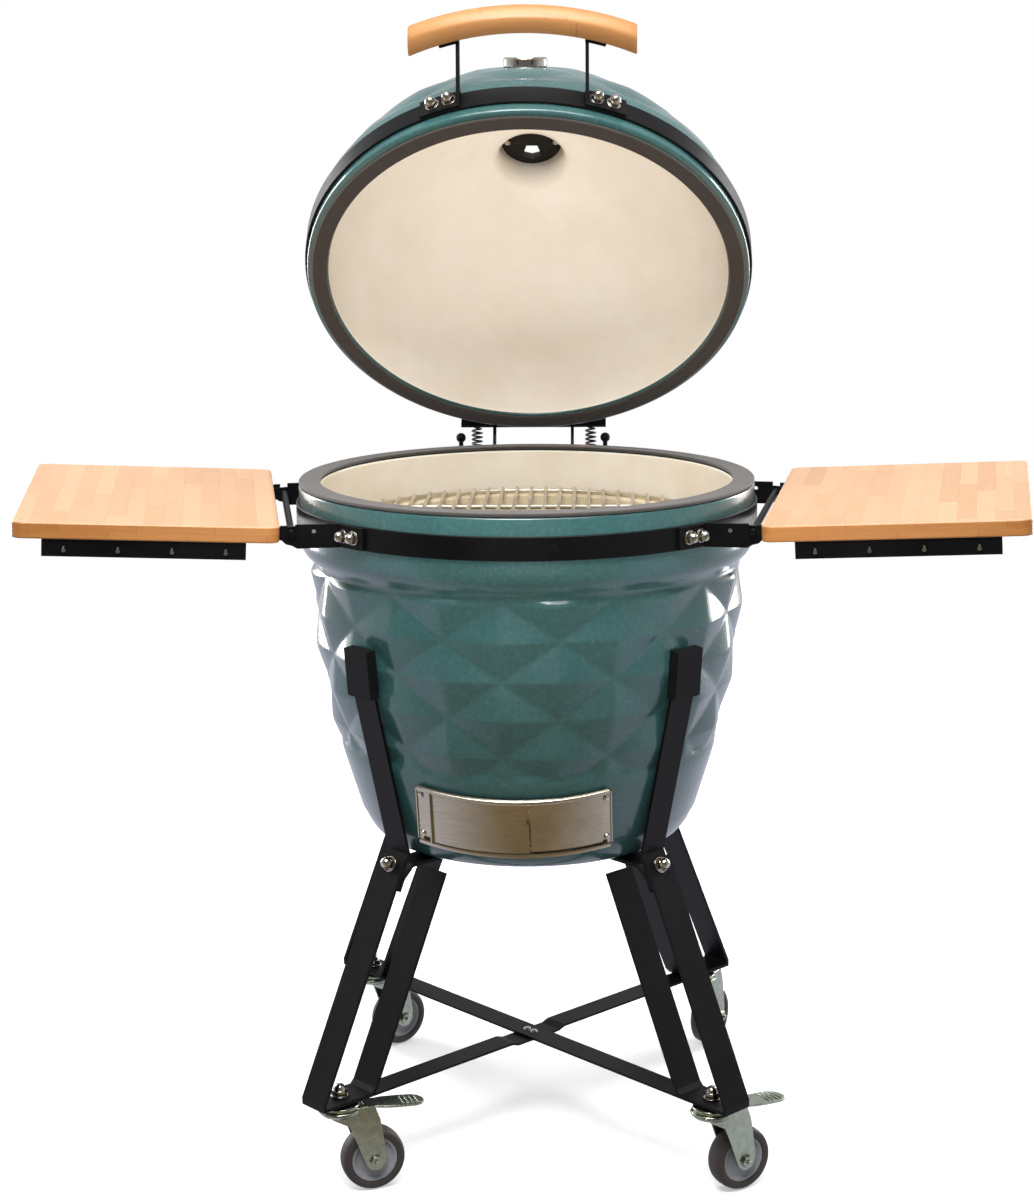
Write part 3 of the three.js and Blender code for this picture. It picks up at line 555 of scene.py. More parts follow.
# the bowl's profile (radius, height), from the middle of the bottom, up outside and down inside
lower = [(0, 378.2), (158, 378.2), (167, 378.9), (174, 380.6), (180, 383.6), (185.4, 387.8), (190, 393),
         (194.3, 399.5), (197.6, 406), (cone_r(416) - 0.2, 416)]
ledge = [(cone_r(z) - inset, z)
         for z, inset in ((450, 0.2), (480.0, 0.2), (488.0, 0.6), (494.0, 1.6), (499.0, 3.6))]
wall = smooth([(223.4, 503), (230, 530), (236.3, 561), (243.3, 598), (247.5, 630), (249.3, 660), (250.4, 690),
               (251.6, 709)], 8)
top = [(252.6, 711.6), (254.6, 715), (258.6, 719.5), (263.4, 724.5), (267, 730), (269, 736), (269.8, 742), (270, 752),
       (270, RIM_Z - 3), (269.1, RIM_Z - 0.9), (267, RIM_Z), (247, RIM_Z), (244.9, RIM_Z - 0.9), (244, RIM_Z - 3)]
inner = smooth([(244, RIM_Z - 4), (243, 740), (236, 660), (228, 600), (216, 540), (200, 480), (184, 430)], 6) \
    + [(168, 404), (150, 398.0), (0, 398.0)]

outer = lower + ledge + samples(wall, 3.2) + top
N_OUT = len(lower + ledge) + len(samples(wall, 3.2))


def pyramid(az, v, phase):
    """Height, 0 to 1, of staggered four-sided pyramids: v counts rows, az is in degrees."""
    best = 0.0
    for row in (math.floor(v), math.floor(v) + 1):
        centre = phase + (PITCH / 2 if row % 2 else 0.0)
        u = ((az - centre + PITCH / 2) % PITCH - PITCH / 2) / (PITCH / 2)
        best = max(best, 1.0 - abs(u) - abs(v - row))
    return best


def relief_bowl(az, z, k):
    if k >= N_OUT or z < BODY_Z0 or z > BODY_Z1:
        return 0.0
    best = pyramid(az, (z - ROW_Z) / ROW, PHASE)
    fade = min(1.0, (BODY_Z1 - z) / 9.0)
    h = best if best < 0.8 else 0.8 + 0.1 * math.tanh((best - 0.8) / 0.1)
    return RELIEF * h * fade


# the vent lies on a cylinder that leans with the bowl's front wall
TILT = math.atan(SLOPE)
VENT_Z, VENT_TURN = 440, -3.4
VENT_CYL = cone_r(VENT_Z) / math.cos(TILT)
VENT = (place(VENT_TURN) @ Matrix.Translation((0, 0, VENT_Z + cone_r(VENT_Z) * SLOPE))
        @ Matrix.Rotation(TILT, 4, "X"))
WINDOW_A, WINDOW_S = 24, 25        # half the window: degrees round the cylinder, and along it


def patch(s0, s1, o0, o1, a0, a1, seg=None, c=0.0):
    """A curved plate: from s0 to s1 along the cylinder, o0 to o1 off it and a0 to a1 degrees round it."""
    r0, r1 = VENT_CYL + o0, VENT_CYL + o1
    n = seg or max(3, round((a1 - a0) / 1.5))
    return lathe([(r0, s0), (r1 - c, s0), (r1, s0 + c), (r1, s1 - c), (r1 - c, s1), (r0, s1), (r0, s0)] if c else
                 [(r0, s0), (r1, s0), (r1, s1), (r0, s1), (r0, s0)], n, a0, a1 - a0)


blank = obj("bowl_blank", [lathe(outer + inner, 360, bump=relief_bowl)], material=GLAZE, body=None, smooth=False)
cutter = obj("window_cutter", [patch(-WINDOW_S, WINDOW_S, -80, 20, -WINDOW_A, WINDOW_A, 48)], VENT, BRICK,
             body=None, smooth=False)
hole = blank.modifiers.new("window", "BOOLEAN")
hole.object, hole.solver = cutter, "MANIFOLD"
hole.material_mode = "TRANSFER"
baked = bpy.data.meshes.new_from_object(blank.evaluated_get(bpy.context.evaluated_depsgraph_get()))
bpy.data.objects.remove(cutter)
bpy.data.objects.remove(blank)
bowl = bpy.data.objects.new("bowl_glazed", baked)
bpy.context.scene.collection.objects.link(bowl)
for p in bowl.data.polygons:
    p.use_smooth = True
bowl.data.set_sharp_from_angle(angle=math.radians(60))
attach(bowl, "grill")
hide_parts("bowl")
if len(bowl.data.materials) < 2:
    bowl.data.materials.append(BRICK)
bowl.data.materials.append(CREAM)
for p in bowl.data.polygons:
    if p.material_index == 1:
        continue
    c = p.center * 1000
    r = math.hypot(c.x, c.y - Y0)
    if (c.z < RIM_Z - 1.5 and r < 245 and p.normal.dot(Vector((c.x, c.y - Y0, 0))) < 0 and c.z > 399) or \
            (c.z < 399 and c.z > 397):
        p.material_index = 2


DOME_Z0, DOME_H, DOME_E = 38.0, 213.0, 1.75


def dome(r, z0, h, e, r_end, n):
    pts = []
    for i in range(n + 1):
        a = math.pi / 2 * i / n
        p = (r * math.cos(a) ** (2 / e), z0 + h * math.sin(a) ** (2 / e))
        if p[0] > r_end:
            pts.append(p)
    return pts


LZ = FELT + 2 * GAP
shell = dome(RIM_R, DOME_Z0, DOME_H, DOME_E, 62, 90)
LID_A, LID_B = 62.0, 236.0


def path_lengths(profile):
    out = [0.0]
    for a, b in zip(profile, profile[1:]):
        out.append(out[-1] + math.hypot(b[0] - a[0], b[1] - a[1]))
    return out


lid_outer = [(RIM_IN + 3, LZ), (RIM_R - 3, LZ), (RIM_R - 0.9, LZ + 0.9), (RIM_R, LZ + 3)] + samples(
    [(RIM_R, LZ + 4), (RIM_R, DOME_Z0 - 0.5)], 6) + shell
collar = [(59.5, 249.6), (57.6, 252), (56.2, 255), (55.2, CHIMNEY_Z - 1.2), (54, CHIMNEY_Z), (41, CHIMNEY_Z),
          (39.8, CHIMNEY_Z - 1.2), (42, 243), (44.5, 222.6)]
under = dome(RIM_IN, 26, 199, 1.85, 48, 60)[::-1] + [(RIM_IN, 16), (RIM_IN, LZ + 3), (RIM_IN + 0.9, LZ + 0.9),
                                                    (RIM_IN + 3, LZ)]
lid_profile = lid_outer + collar + under
arc = path_lengths(lid_profile)
A0 = next(i for i, p in enumerate(lid_profile) if p[1] > LID_A)
A1 = next(i for i, p in enumerate(lid_profile) if p[1] > LID_B)
LID_ROW = (arc[A1] - arc[A0]) / 6.0


def relief_lid(az, z, k):
    if k < A0 or k > A1:
        return 0.0
    best = pyramid(az, (arc[k] - arc[A0]) / LID_ROW, PITCH / 2)
    fade = min(1.0, (arc[k] - arc[A0]) / 8.0, (arc[A1] - arc[k]) / 8.0)
    size = lid_profile[k][0] / RIM_R
    return LID_RELIEF * size * best * fade - LID_SINK * fade


lid = obj("lid_glazed", [lathe(lid_profile, 360, bump=relief_lid)], LID, GLAZE, "lid", "lid", sharp=60)
# the lid's inside is the bowl's inside cream made lighter: painted light on the open lid's inside
LID_CREAM_PAINTED_LIGHTER = cream_material("cream_lid_painted_lighter", (248, 240, 225), (254, 249, 240))
lid.data.materials.append(LID_CREAM_PAINTED_LIGHTER)
inv = LID.inverted()
for p in lid.data.polygons:
    c = inv @ (p.center * 1000)
    r = math.hypot(c.x, c.y)
    if (r < 48 and c.z < CHIMNEY_Z - 0.5) or \
            (r < RIM_IN + 0.2 and p.normal.dot(inv.inverted().to_3x3() @ Vector((c.x, c.y, c.z))) < 0):
        p.material_index = 1


def ring(r0, r1, z0, z1, c=0.8, seg=180):
    return lathe([(r0 + c, z0), (r1 - c, z0), (r1, z0 + c), (r1, z1 - c), (r1 - c, z1), (r0 + c, z1),
                  (r0, z1 - c), (r0, z0 + c), (r0 + c, z0)], seg)


obj("gasket_bowl", [ring(RIM_IN + 0.5, RIM_R, RIM_Z + GAP, RIM_Z + GAP + FELT, 1.2)], material=FELT_LOW,
    node="bowl_gasket")
obj("gasket_lid", [ring(RIM_IN + 1, RIM_R - 6, GAP, GAP + FELT, 1.2)], LID, FELT_TOP, "lid", "lid_gasket")
BAND_R = (RIM_R + 0.4, RIM_R + 3.4)
obj("band_bowl", [ring(*BAND_R, 757, 784, 0.9)], material=BLACK, node="bowl_band")
obj("band_lid", [ring(*BAND_R, 17, 44, 0.9)], LID, BLACK, "lid", "lid_band")

# ---- inside the bowl ----------------------------------------------------------------
def node_material(name, material, bevel=0.0):
    """Gives a solid that keeps its own shape a finish and softened edges."""
    o = frame["nodes"][name]
    o.data.materials.clear()
    o.data.materials.append(material)
    for p in o.data.polygons:
        p.material_index = 0
        p.use_smooth = False
    if bevel:
        bevel_edges(o, bevel)
    return o


node_material("fire_box", BRICK, 1.5)
node_material("fire_ring", BRICK, 1.5)
node_material("charcoal_grate", IRON, 0.6)

GRID_R = 221
grid = [tube([(GRID_R * math.cos(2 * math.pi * i / 96), GRID_R * math.sin(2 * math.pi * i / 96), 755.3)
              for i in range(96)], 3.0, 12, closed=True)]
for i in range(-11, 12):
    x = i * 18.3
    h = math.sqrt(GRID_R ** 2 - x * x)
    grid.append(tube([(x, -h, 758.6), (x, h, 758.6)], 2.3, 10))
for y in (-95, 95):
    h = math.sqrt(GRID_R ** 2 - y * y)
    grid.append(tube([(-h, y, 755.0), (h, y, 755.0)], 2.8, 10))
obj("grid_wires", grid, material=WIRE, body="cooking_grid", node="cooking_grid")


# ---- draft vent -----------------------------------------------------------------------
VH, VS, RAIL = 29.8, 38.4, 5.4     # half the frame, round and along the cylinder, and its front rails
PLATE = (2.4, 3.8)                 # the frame's plate, off the cylinder
CUT_A, CUT_S = 1.1, 4              # the frame's cut corners
frame_bits = [patch(WINDOW_S, VS - CUT_S, *PLATE, -VH, VH), patch(CUT_S - VS, -WINDOW_S, *PLATE, -VH, VH),
              patch(VS - CUT_S, VS, *PLATE, CUT_A - VH, VH - CUT_A),
              patch(-VS, CUT_S - VS, *PLATE, CUT_A - VH, VH - CUT_A),
              patch(-WINDOW_S, WINDOW_S, *PLATE, -VH, -WINDOW_A), patch(-WINDOW_S, WINDOW_S, *PLATE, WINDOW_A, VH)]
for e in (-1, 1):
    lip = [(VENT_CYL + off, e * (VS - inset)) for off, inset in
           ((2.4, 0), (7.4, 0), (8.3, 0.7), (8.4, 2), (8.4, RAIL - 0.5), (8.0, RAIL), (7.2, RAIL), (7.2, 1.6),
            (2.4, 1.4), (2.4, 0))]
    frame_bits.append(lathe(lip, 48, CUT_A - VH, 2 * (VH - CUT_A)))
    frame_bits.append(patch(CUT_S - VS, VS - CUT_S, PLATE[0], 5.2, *sorted((e * VH, e * (VH - 0.35))), 2))
obj("vent_frame_pressed", frame_bits, VENT, STAINLESS, node="vent_frame", sharp=40)
screws = []
for a in (-28.1, 28.1):
    for z in (-26, 26):
        head = [lathe([(0, -0.3), (4.0, -0.3), (3.9, 0.6), (3.1, 1.8), (1.6, 2.4), (0, 2.5)], 20),
                moved(box(0, 0, 2.4, 4.6, 0.9, 0.5), turn("Z", 30)),
                moved(box(0, 0, 2.4, 4.6, 0.9, 0.5), turn("Z", 120))]
        m = turn("Z", a) @ shift(0, -VENT_CYL - PLATE[1], z) @ turn("X", 90)
        screws += [moved(part, m) for part in head]
obj("vent_screws", screws, VENT, POLISHED)
DS = VS - 2.0                      # half the panels, along the cylinder
obj("draft_door_panel", [patch(-DS, DS, 5.6, 6.8, -24.5, 5, c=0.4), patch(-11, 11, 5.7, 12.6, 4.2, 5, 2),
                           patch(-DS + 3, DS - 3, 5.7, 10.2, -24.5, -24.1, 2)], VENT,
    STAINLESS, body="draft_door", node="draft_door", sharp=30)
SA, SB = 5.4, 26.6                 # the screen's ends, degrees round the cylinder
obj("draft_screen_panel", [patch(-DS, DS, 4.2, 5.2, SA, SB, c=0.3)], VENT, PERFORATED,
    body="draft_screen", node="draft_screen")

# ---- nuts ---------------------------------------------------------------------------
def nuts(name, places, body="grill", r=6.8):
    meshes = []
    for m in places:
        meshes += [moved(part, m) for part in acorn(r)]
    return obj(name, meshes, Matrix.Identity(4), NUT, body, bevel=0.25)


# ---- hinge --------------------------------------------------------------------------
node_material("hinge_lower", BLACK, 0.5)
node_material("hinge_upper", BLACK, 0.5)
for side, s in (("left", -1), ("right", 1)):
    bottom, above = Vector((s * 75, 307, 712)), Vector((s * 75, 329, 826))
    axis = above - bottom
    q = Vector((0, 0, 1)).rotation_difference(axis.normalized()).to_matrix().to_4x4()
    n, turns = 420, 21
    pts = []
    for i in range(n + 1):
        t = i / n
        a = 2 * math.pi * turns * t
        rr = 6.6 * min(1.0, 0.25 + 12 * t, 0.25 + 12 * (1 - t))
        pts.append(tuple(bottom + q.to_3x3() @ Vector((rr * math.cos(a), rr * math.sin(a), t * axis.length))))
    o = obj(f"spring_coil_{side}", [tube(pts, 1.25, 8)], WORLD, SPRING, None, f"hinge_spring_{side}")
    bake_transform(o)

# ---- handle -------------------------------------------------------------------------
for side, s in (("left", -1), ("right", 1)):
    node_material(f"handle_post_{side}", BLACK, 0.5)
nuts("handle_nuts", [LID @ turn("Z", s * a) @ shift(0, -RIM_R - 7.2, 30.5) @ turn("X", 90)
                     for s in (-1, 1) for a in (17.8, 22)], "lid")
GR, GY, GZ, GH = 293.0, -339.0, 82.0, 131.0
CHAMFER = 4.0
section = [(-12.5 + CHAMFER, -14), (12.5 - CHAMFER, -14), (12.5, -14 + CHAMFER), (12.5, 14 - CHAMFER),
           (12.5 - CHAMFER, 14), (-12.5 + CHAMFER, 14), (-12.5, 14 - CHAMFER), (-12.5, -14 + CHAMFER)]
verts, faces, n = [], [], len(section)
stations = [-GH, -GH + 1.6] + [GH * (i - 30) / 30 for i in range(2, 59)] + [GH - 1.6, GH]
for i, x in enumerate(stations):
    k = 0.93 if i in (0, len(stations) - 1) else 1.0
    for dr, dz in section:
        verts.append((x, GR + GY - math.sqrt((GR + dr * k) ** 2 - x * x), GZ + dz * k))
for i in range(len(stations) - 1):
    faces += [[i * n + j, i * n + (j + 1) % n, (i + 1) * n + (j + 1) % n, (i + 1) * n + j] for j in range(n)]
faces += [list(range(n))[::-1], [(len(stations) - 1) * n + j for j in range(n)]]
obj("grip_bamboo", [(verts, faces)], LID, GRIP, "lid", "handle_grip", sharp=50)

# ---- thermometer ----------------------------------------------------------------------
node_material("thermometer", POLISHED, 0.3)
THERMO = LID @ shift(0, -224.5, 140) @ turn("X", 90 - 40) @ shift(0, 0, 0.3)
obj("thermo_bezel", [lathe([(21.4, 5.9), (22.2, 7.6), (23.2, 8.3), (24.6, 8.1), (25.9, 6.4), (26.2, 4), (26.2, -1),
                            (25, -1), (25, 4), (21.4, 5.9)], 96)], THERMO, POLISHED, "lid")
obj("thermo_dial", [lathe([(0, 6.1), (21.6, 6.1), (21.6, 6.4), (0, 6.4)], 72)], THERMO, DIAL, "lid")
ticks = []
for i in range(31):
    long = i % 5 == 0
    ticks.append(moved(box(0, 18.6 - (1.5 if long else 0.6), 6.55, 0.7 if long else 0.4, 4.2 if long else 2.2, 0.2),
                       turn("Z", 135 - 9 * i)))
ticks.append(moved(box(0, 6.5, 6.8, 1.0, 17, 0.3), turn("Z", 70)))
ticks.append(lathe([(0, 6.4), (2.4, 6.4), (2.2, 7.2), (0, 7.3)], 24))
obj("thermo_marks", ticks, THERMO, BLACK, "lid")

# ---- chimney vent ---------------------------------------------------------------------
node_material("vent_base", IRON, 0.8)
node_material("vent_disc", IRON, 0.8)
bolt = lathe([(0, -5), (4.2, -5), (4.2, -0.1), (0, -0.1)], 6)
bolts = [moved(bolt, LID @ shift(s * 31, 2, CHIMNEY_Z + GAP)) for s in (-1, 1)]
obj("vent_bolts", bolts, Matrix.Identity(4), NUT, "lid", bevel=0.3)

# ---- cart -----------------------------------------------------------------------------
LEG_R, FOOT_Z, LEG_NUT_Z = 345.0, 113.0, 377.6
STEM_R, TRAIL, WHEEL_R = 304, 38, 37.5      # the casters' stems, how far the wheels trail them, and the tyre


def arm(z):
    """Distance of a leaning leg from the bowl's axis."""
    return LEG_R - (z - FOOT_Z) * LEAN


leg_nuts = []
for name, (azimuth, heading) in CORNERS.items():
    node_material(f"leg_{name}", BLACK, 0.7)
    node_material(f"upright_{name}", BLACK, 0.6)
    node_material(f"pad_{name}", PAD, 1.2)
    leg_nuts.append(place(azimuth) @ shift(arm(LEG_NUT_Z) + 2.2, 0, LEG_NUT_Z) @ turn("Y", 90 - LEG_LEAN))
    a = math.radians(azimuth)
    stem = (STEM_R * math.cos(a), STEM_R * math.sin(a), 0)
    here = place(heading, stem)
    top_z = FOOT_Z - 0.3 - 1.5 - 1.5 - GAP
    # fork: two pressed cheeks under a ball-race housing
    cheek_line = [(-21, top_z - 8), (-14, top_z - 4), (14, top_z - 4), (24, top_z - 4), (38, top_z - 4),
                  (44, top_z - 20), (51, 46), (49, 33), (44, 27.5), (38, 26), (32, 27.5), (27, 33), (22, 46),
                  (8, top_z - 26), (-10, top_z - 16)]
    cheek = moved(prism(cheek_line, 2.6), turn("X", 90))
    race = [(0, top_z), (20, top_z), (22.5, top_z - 1.2), (22.8, top_z - 4), (20.5, top_z - 5.2), (24.3, top_z - 6.2),
            (25, top_z - 9), (22, top_z - 12.5), (15, top_z - 14), (0, top_z - 14)]
    fork = [moved(cheek, shift(0, 16.3, 0)), moved(cheek, shift(0, -13.7, 0)), lathe(race, 48),
            moved(rod(4.4, 36, 24), shift(TRAIL, 0, WHEEL_R) @ turn("X", 90))]
    for s in (-1, 1):
        fork.append(moved(prism(hexagon(7.6), 4.2),
                          shift(TRAIL, s * 16.4 + (4.2 if s > 0 else 0), WHEEL_R) @ turn("X", 90)))
        fork.append(moved(rod(2.6, 3.4, 16), shift(TRAIL, s * 22, WHEEL_R) @ turn("X", 90)))
    fork.append(moved(rod(5.0, 20, 20), shift(0, 0, top_z + 9)))
    obj(f"fork_pressed_{name}", fork, here, ZINC, f"caster_{name}", f"caster_fork_{name}", bevel=0.5)
    nuts(f"stem_nut_{name}", [here @ shift(0, 0, 117.4)], f"caster_{name}", r=8.2)
    wheel = here @ shift(TRAIL, 0, WHEEL_R) @ turn("X", 90)
    half = [(27.4, 11), (30, 11.9), (33.6, 12), (35.6, 10.6), (36.9, 7.6), (37.4, 4)]
    tyre = [(r, -x) for r, x in half] + [(WHEEL_R, 0)] + half[::-1] + [(27.4, -11)]
    obj(f"tyre_{name}", [lathe(tyre, 96)], wheel, TYRE, f"wheel_{name}", f"caster_tyre_{name}",
        sharp=50)
    half = [(4.5, 12), (9.5, 12), (10.4, 11), (11, 7.5), (14, 6.6), (19, 6.4), (22.6, 7.4), (24, 9.4), (27, 9.8),
            (27.3, 8)]
    hub = [(r, -x) for r, x in half] + half[::-1] + [(4.5, -12)]
    obj(f"hub_{name}", [lathe(hub, 72)], wheel, HUB, f"wheel_{name}", f"caster_hub_{name}", sharp=40)
    if azimuth > 180:
        half = [(27, 12.5), (44, 12.5), (52, 14.8), (72, 15.5), (88, 15), (96, 11.5), (100.2, 5)]
        line = [(x, -y) for x, y in half] + [(101, 0)] + half[::-1]
        tread = shift(0, 0, top_z - 5.3) @ turn("Y", 4)
        plate = moved(prism(line, 2.6), tread)
        ribs = [moved(box(x, 0, 3.0, 2.4, 22, 1.4), tread) for x in (74, 80, 86, 92)]
        lugs = [box(31, s * 11.2, top_z - 9.4, 9, 2.4, 9) for s in (-1, 1)]
        pin = [moved(rod(2.4, 25, 16), shift(30, 0, top_z - 9) @ turn("X", 90))]
        obj(f"pedal_{name}", [plate] + ribs + lugs + pin, here, ZINC, f"brake_{name}", f"brake_pedal_{name}",
            bevel=0.5)
nuts("leg_nuts", leg_nuts, r=7.4)
node_material("base_ring", BLACK, 0.6)
node_material("crossbar_upper", BLACK, 0.5)
node_material("crossbar_lower", BLACK, 0.5)
bar_screws = []
for x in (-6, 6):
    m = place(135) @ shift(x, 0, 111.2 + 1.5)
    bar_screws.append(moved(lathe([(0, -0.4), (4.9, -0.4), (4.9, 0.3), (4.2, 1.7), (2.4, 2.6), (0, 2.8)], 24), m))
obj("bar_screws", bar_screws, Matrix.Identity(4), NUT, "grill")

# ---- shelves --------------------------------------------------------------------------
X0, W, L, TOP, T = 299.0, 289.0, 429.0, 791.6, 18.0    # a board's inner edge, width, length, top, thickness
FX, FZ, SHELF_TILT = 284.0, 774.0, 3.0                 # fold pin, and how far the outer end stands up
SHY = 0.6                                              # the board's edge stays this far inside the solid's
LIFT = shift(FX, 0, FZ) @ turn("Y", -SHELF_TILT) @ shift(-FX, 0, -FZ)


def rounded(x0, x1, y0, y1, r, n=5):
    pts = []
    for cx, cy, a0 in ((x1 - r, y0 + r, -90), (x1 - r, y1 - r, 0), (x0 + r, y1 - r, 90), (x0 + r, y0 + r, 180)):
        pts += [(cx + r * math.cos(math.radians(a0 + 90 * k / n)), cy + r * math.sin(math.radians(a0 + 90 * k / n)))
                for k in range(n + 1)]
    return pts


for side, s in (("left", -1), ("right", 1)):
    base = place(-s * SWEEP)
    flip = base @ Matrix.Diagonal((s, 1, 1, 1))
    turns = [(0, 0, s * SWEEP), (0, s * SHELF_TILT, 0)]
    middle = turn("Y", s * SHELF_TILT) @ turn("Z", s * SWEEP) @ flip @ LIFT @ Vector((X0 + W / 2, 0, TOP - T / 2))
    face = bamboo_material(f"bamboo_board_{side}", 0, 1, 2, (206, 164, 126), (190, 146, 106), (150, 104, 66),
                           0.0205, 0.23, turns=turns)
    rim = bamboo_material(f"bamboo_edge_{side}", 2, 0, 1, (196, 134, 70), (176, 112, 52), (134, 76, 32), 0.009, 0.085,
                          turns=turns, offset=-middle.z / 1000)
    outline = rounded(X0, X0 + W - SHY, SHY - L / 2, L / 2 - SHY, 12, 8)
    board = obj(f"board_{side}", [prism(outline, T, TOP - T)], flip @ LIFT, face,
                f"shelf_{side}", f"shelf_board_{side}", bevel=1.6)
    board.data.materials.append(rim)
    for p in board.data.polygons:
        if abs(p.normal.z) < 0.5:
            p.material_index = 1
    node_material(f"shelf_rail_{side}", BLACK, 0.6)
    pegs = []
    for k in range(4):
        for e in (-1, 1):
            at = (357 + k * 58, e * (L / 2 - 3.6), TOP - T - GAP - 11)
            pegs.append(moved(rod(2.3, 6.4, 16), shift(at[0], at[1] + e * 3.2, at[2]) @ turn("X", 90)))
            pegs.append(tube([(at[0], at[1] + e * 3.6, at[2]), (at[0], at[1] + e * 4.4, at[2] + 1),
                              (at[0], at[1] + e * 4.4, at[2] + 4.6)], 1.5, 8))
    obj(f"tool_pegs_{side}", pegs, flip @ LIFT, NUT, f"shelf_{side}")
    for end, e in (("front", -1), ("rear", 1)):
        node_material(f"shelf_bracket_{side}_{end}", BLACK, 0.7)
        a0 = math.degrees(math.asin(150 / 275.5))
        places = []
        for da in (2, 5.8):
            az = 90 - a0 - da if e < 0 else 90 + a0 + da
            places.append(base @ turn("Z", s * az) @ shift(0, -277.4, 771) @ turn("X", 90))
        nuts(f"bracket_nuts_{side}_{end}", places, r=6.4)

# ---- floor, light and camera ------------------------------------------------------------
FLOOR_R = 3600
floor = obj("floor", [prism([(FLOOR_R * math.cos(math.pi * k / 48), FLOOR_R * math.sin(math.pi * k / 48))
                             for k in range(96)], 20, -20)], Matrix.Identity(4), None, None)
# the camera sees white paper; the object is lit by a dimmer room, darker in front than behind
k = Mat("floor_paper", 0.9, Specular_IOR_Level=0.1, Emission_Strength=0.34)
k.colour(k.ramp(k.noise(2, 3), [(0.3, (240, 240, 240)), (0.7, (246, 246, 246))]))
k.b.inputs["Emission Color"].default_value = (1, 1, 1, 1)
ray = k.t.nodes.new("ShaderNodeLightPath")
dim = k.t.nodes.new("ShaderNodeEmission")
spot = k.separate()
ahead = k.math("SUBTRACT", k.math("MULTIPLY", spot[1], -1.0), k.math("MULTIPLY", k.math("ABSOLUTE", spot[0]), 0.7))
k.link(k.ramp(ahead, [(0.0, (216, 216, 232)), (0.5, (142, 124, 92))]), dim.inputs["Color"])
swap = k.t.nodes.new("ShaderNodeMixShader")
soft = k.t.nodes.new("ShaderNodeEmission")
soft.inputs["Color"].default_value = (0.40, 0.39, 0.38, 1)
bounce = k.t.nodes.new("ShaderNodeMixShader")
k.link(ray.outputs["Is Diffuse Ray"], bounce.inputs["Fac"])
k.link(dim.outputs[0], bounce.inputs[1])
k.link(soft.outputs[0], bounce.inputs[2])
k.link(ray.outputs["Is Camera Ray"], swap.inputs["Fac"])
k.link(bounce.outputs[0], swap.inputs[1])
k.link(k.b.outputs[0], swap.inputs[2])
k.link(swap.outputs[0], k.t.nodes["Material Output"].inputs["Surface"])
floor.data.materials.append(k.m)

world = bpy.data.worlds.new("studio")
bpy.context.scene.world = world
bpy.context.scene.view_settings.view_transform = "Standard"
world.use_nodes = True
wt = world.node_tree
bg = wt.nodes["Background"]
seen = wt.nodes.new("ShaderNodeBackground")
seen.inputs["Color"].default_value = (1, 1, 1, 1)
path = wt.nodes.new("ShaderNodeLightPath")
either = wt.nodes.new("ShaderNodeMixShader")
direction = wt.nodes.new("ShaderNodeTexCoord")
split = wt.nodes.new("ShaderNodeSeparateXYZ")
sky = wt.nodes.new("ShaderNodeValToRGB")
height = wt.nodes.new("ShaderNodeMapRange")
height.inputs["From Min"].default_value = -0.2
height.inputs["From Max"].default_value = 1.0
for k, (pos, level) in enumerate(((0.0, 0.7), (0.16, 0.75), (0.34, 0.6), (0.62, 0.62), (1.0, 0.85))):
    if k > 1:
        sky.color_ramp.elements.new(pos)
    sky.color_ramp.elements[k].position = pos
    sky.color_ramp.elements[k].color = (level * 0.97, level * 0.97, level, 1)
wt.links.new(direction.outputs["Generated"], split.inputs[0])
wt.links.new(split.outputs["Z"], height.inputs["Value"])
wt.links.new(height.outputs["Result"], sky.inputs["Fac"])
front = wt.nodes.new("ShaderNodeMapRange")
front.inputs["From Min"].default_value = -0.7
front.inputs["From Max"].default_value = 0.1
front.inputs["To Min"].default_value = 0.22
wt.links.new(split.outputs["Y"], front.inputs["Value"])
wt.links.new(sky.outputs["Color"], bg.inputs["Color"])
wt.links.new(front.outputs["Result"], bg.inputs["Strength"])
wt.links.new(path.outputs["Is Camera Ray"], either.inputs["Fac"])
wt.links.new(bg.outputs[0], either.inputs[1])
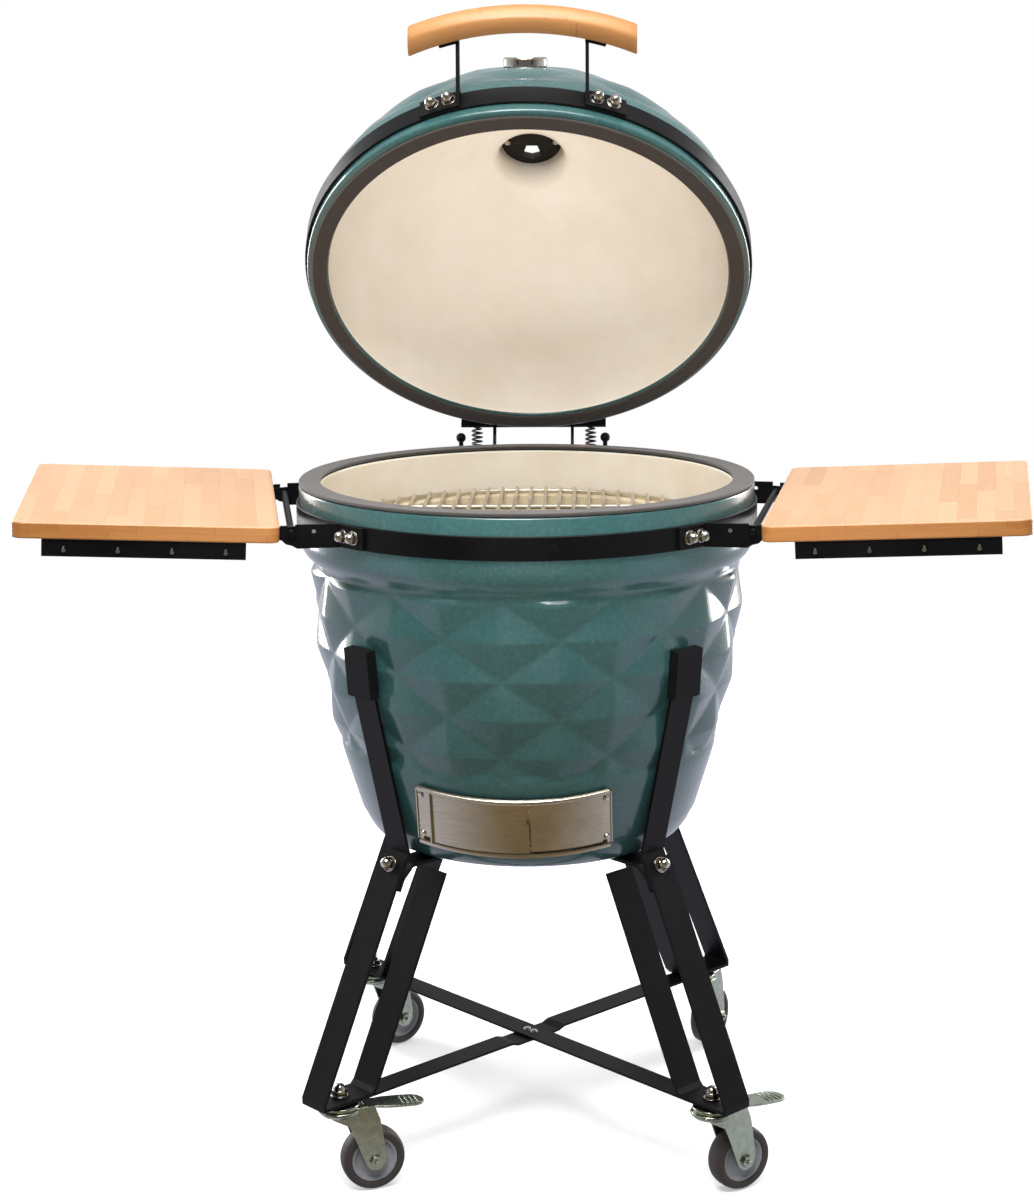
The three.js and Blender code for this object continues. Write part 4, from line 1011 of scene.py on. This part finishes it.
wt.links.new(seen.outputs[0], either.inputs[2])
wt.links.new(either.outputs[0], wt.nodes["World Output"].inputs["Surface"])


def softbox(name, where, at, size, power, tall=None, spread=180):
    light = bpy.data.lights.new(name, "AREA")
    light.shape = "RECTANGLE"
    light.size, light.size_y = size, tall or size
    light.energy = power
    light.spread = math.radians(spread)
    o = bpy.data.objects.new(name, light)
    bpy.context.scene.collection.objects.link(o)
    o.location = where
    o.visible_glossy = spread > 90
    o.rotation_euler = (Vector(at) - Vector(where)).to_track_quat("-Z", "Y").to_euler()


softbox("overhead", (0, -0.7, 3.4), (0, 0, 0.6), 2.4, 105)
softbox("left_strip", (-2.0, 1.7, 1.0), (0, 0, 0.7), 0.7, 46, 1.8)
softbox("right_strip", (2.0, 1.7, 1.0), (0, 0, 0.7), 0.7, 46, 1.8)
softbox("lid_fill", (0.1, -1.45, 0.72), (0, 0.05, 1.12), 0.7, 1.5, 0.5, 55)
softbox("front_high", (-0.25, -2.0, 3.3), (0, 0, 0.7), 1.1, 60)

cam_data = bpy.data.cameras.new("camera")
cam = bpy.data.objects.new("camera", cam_data)
bpy.context.scene.collection.objects.link(cam)
cam_data.sensor_fit = "AUTO"
cam_data.sensor_width = 36.0
cam_data.lens = 72.46
cam_data.shift_x, cam_data.shift_y = 0.0059, -0.049
cam_data.clip_end = 100
YAW, PITCH_DOWN, ROLL = math.radians(2.23), math.radians(10.39), math.radians(-0.52)
cam.location = (0.0902, -2.8378 + Y0 / 1000, 1.2503)
forward = Vector((-math.sin(YAW) * math.cos(PITCH_DOWN), math.cos(YAW) * math.cos(PITCH_DOWN),
                  -math.sin(PITCH_DOWN)))
right = Vector((math.cos(YAW), math.sin(YAW), 0))
up = right.cross(forward)
r = math.cos(ROLL) * right + math.sin(ROLL) * up
u = -math.sin(ROLL) * right + math.cos(ROLL) * up
cam.rotation_mode = "QUATERNION"
cam.rotation_quaternion = Matrix((r, u, -forward)).transposed().to_quaternion()
bpy.context.scene.camera = cam
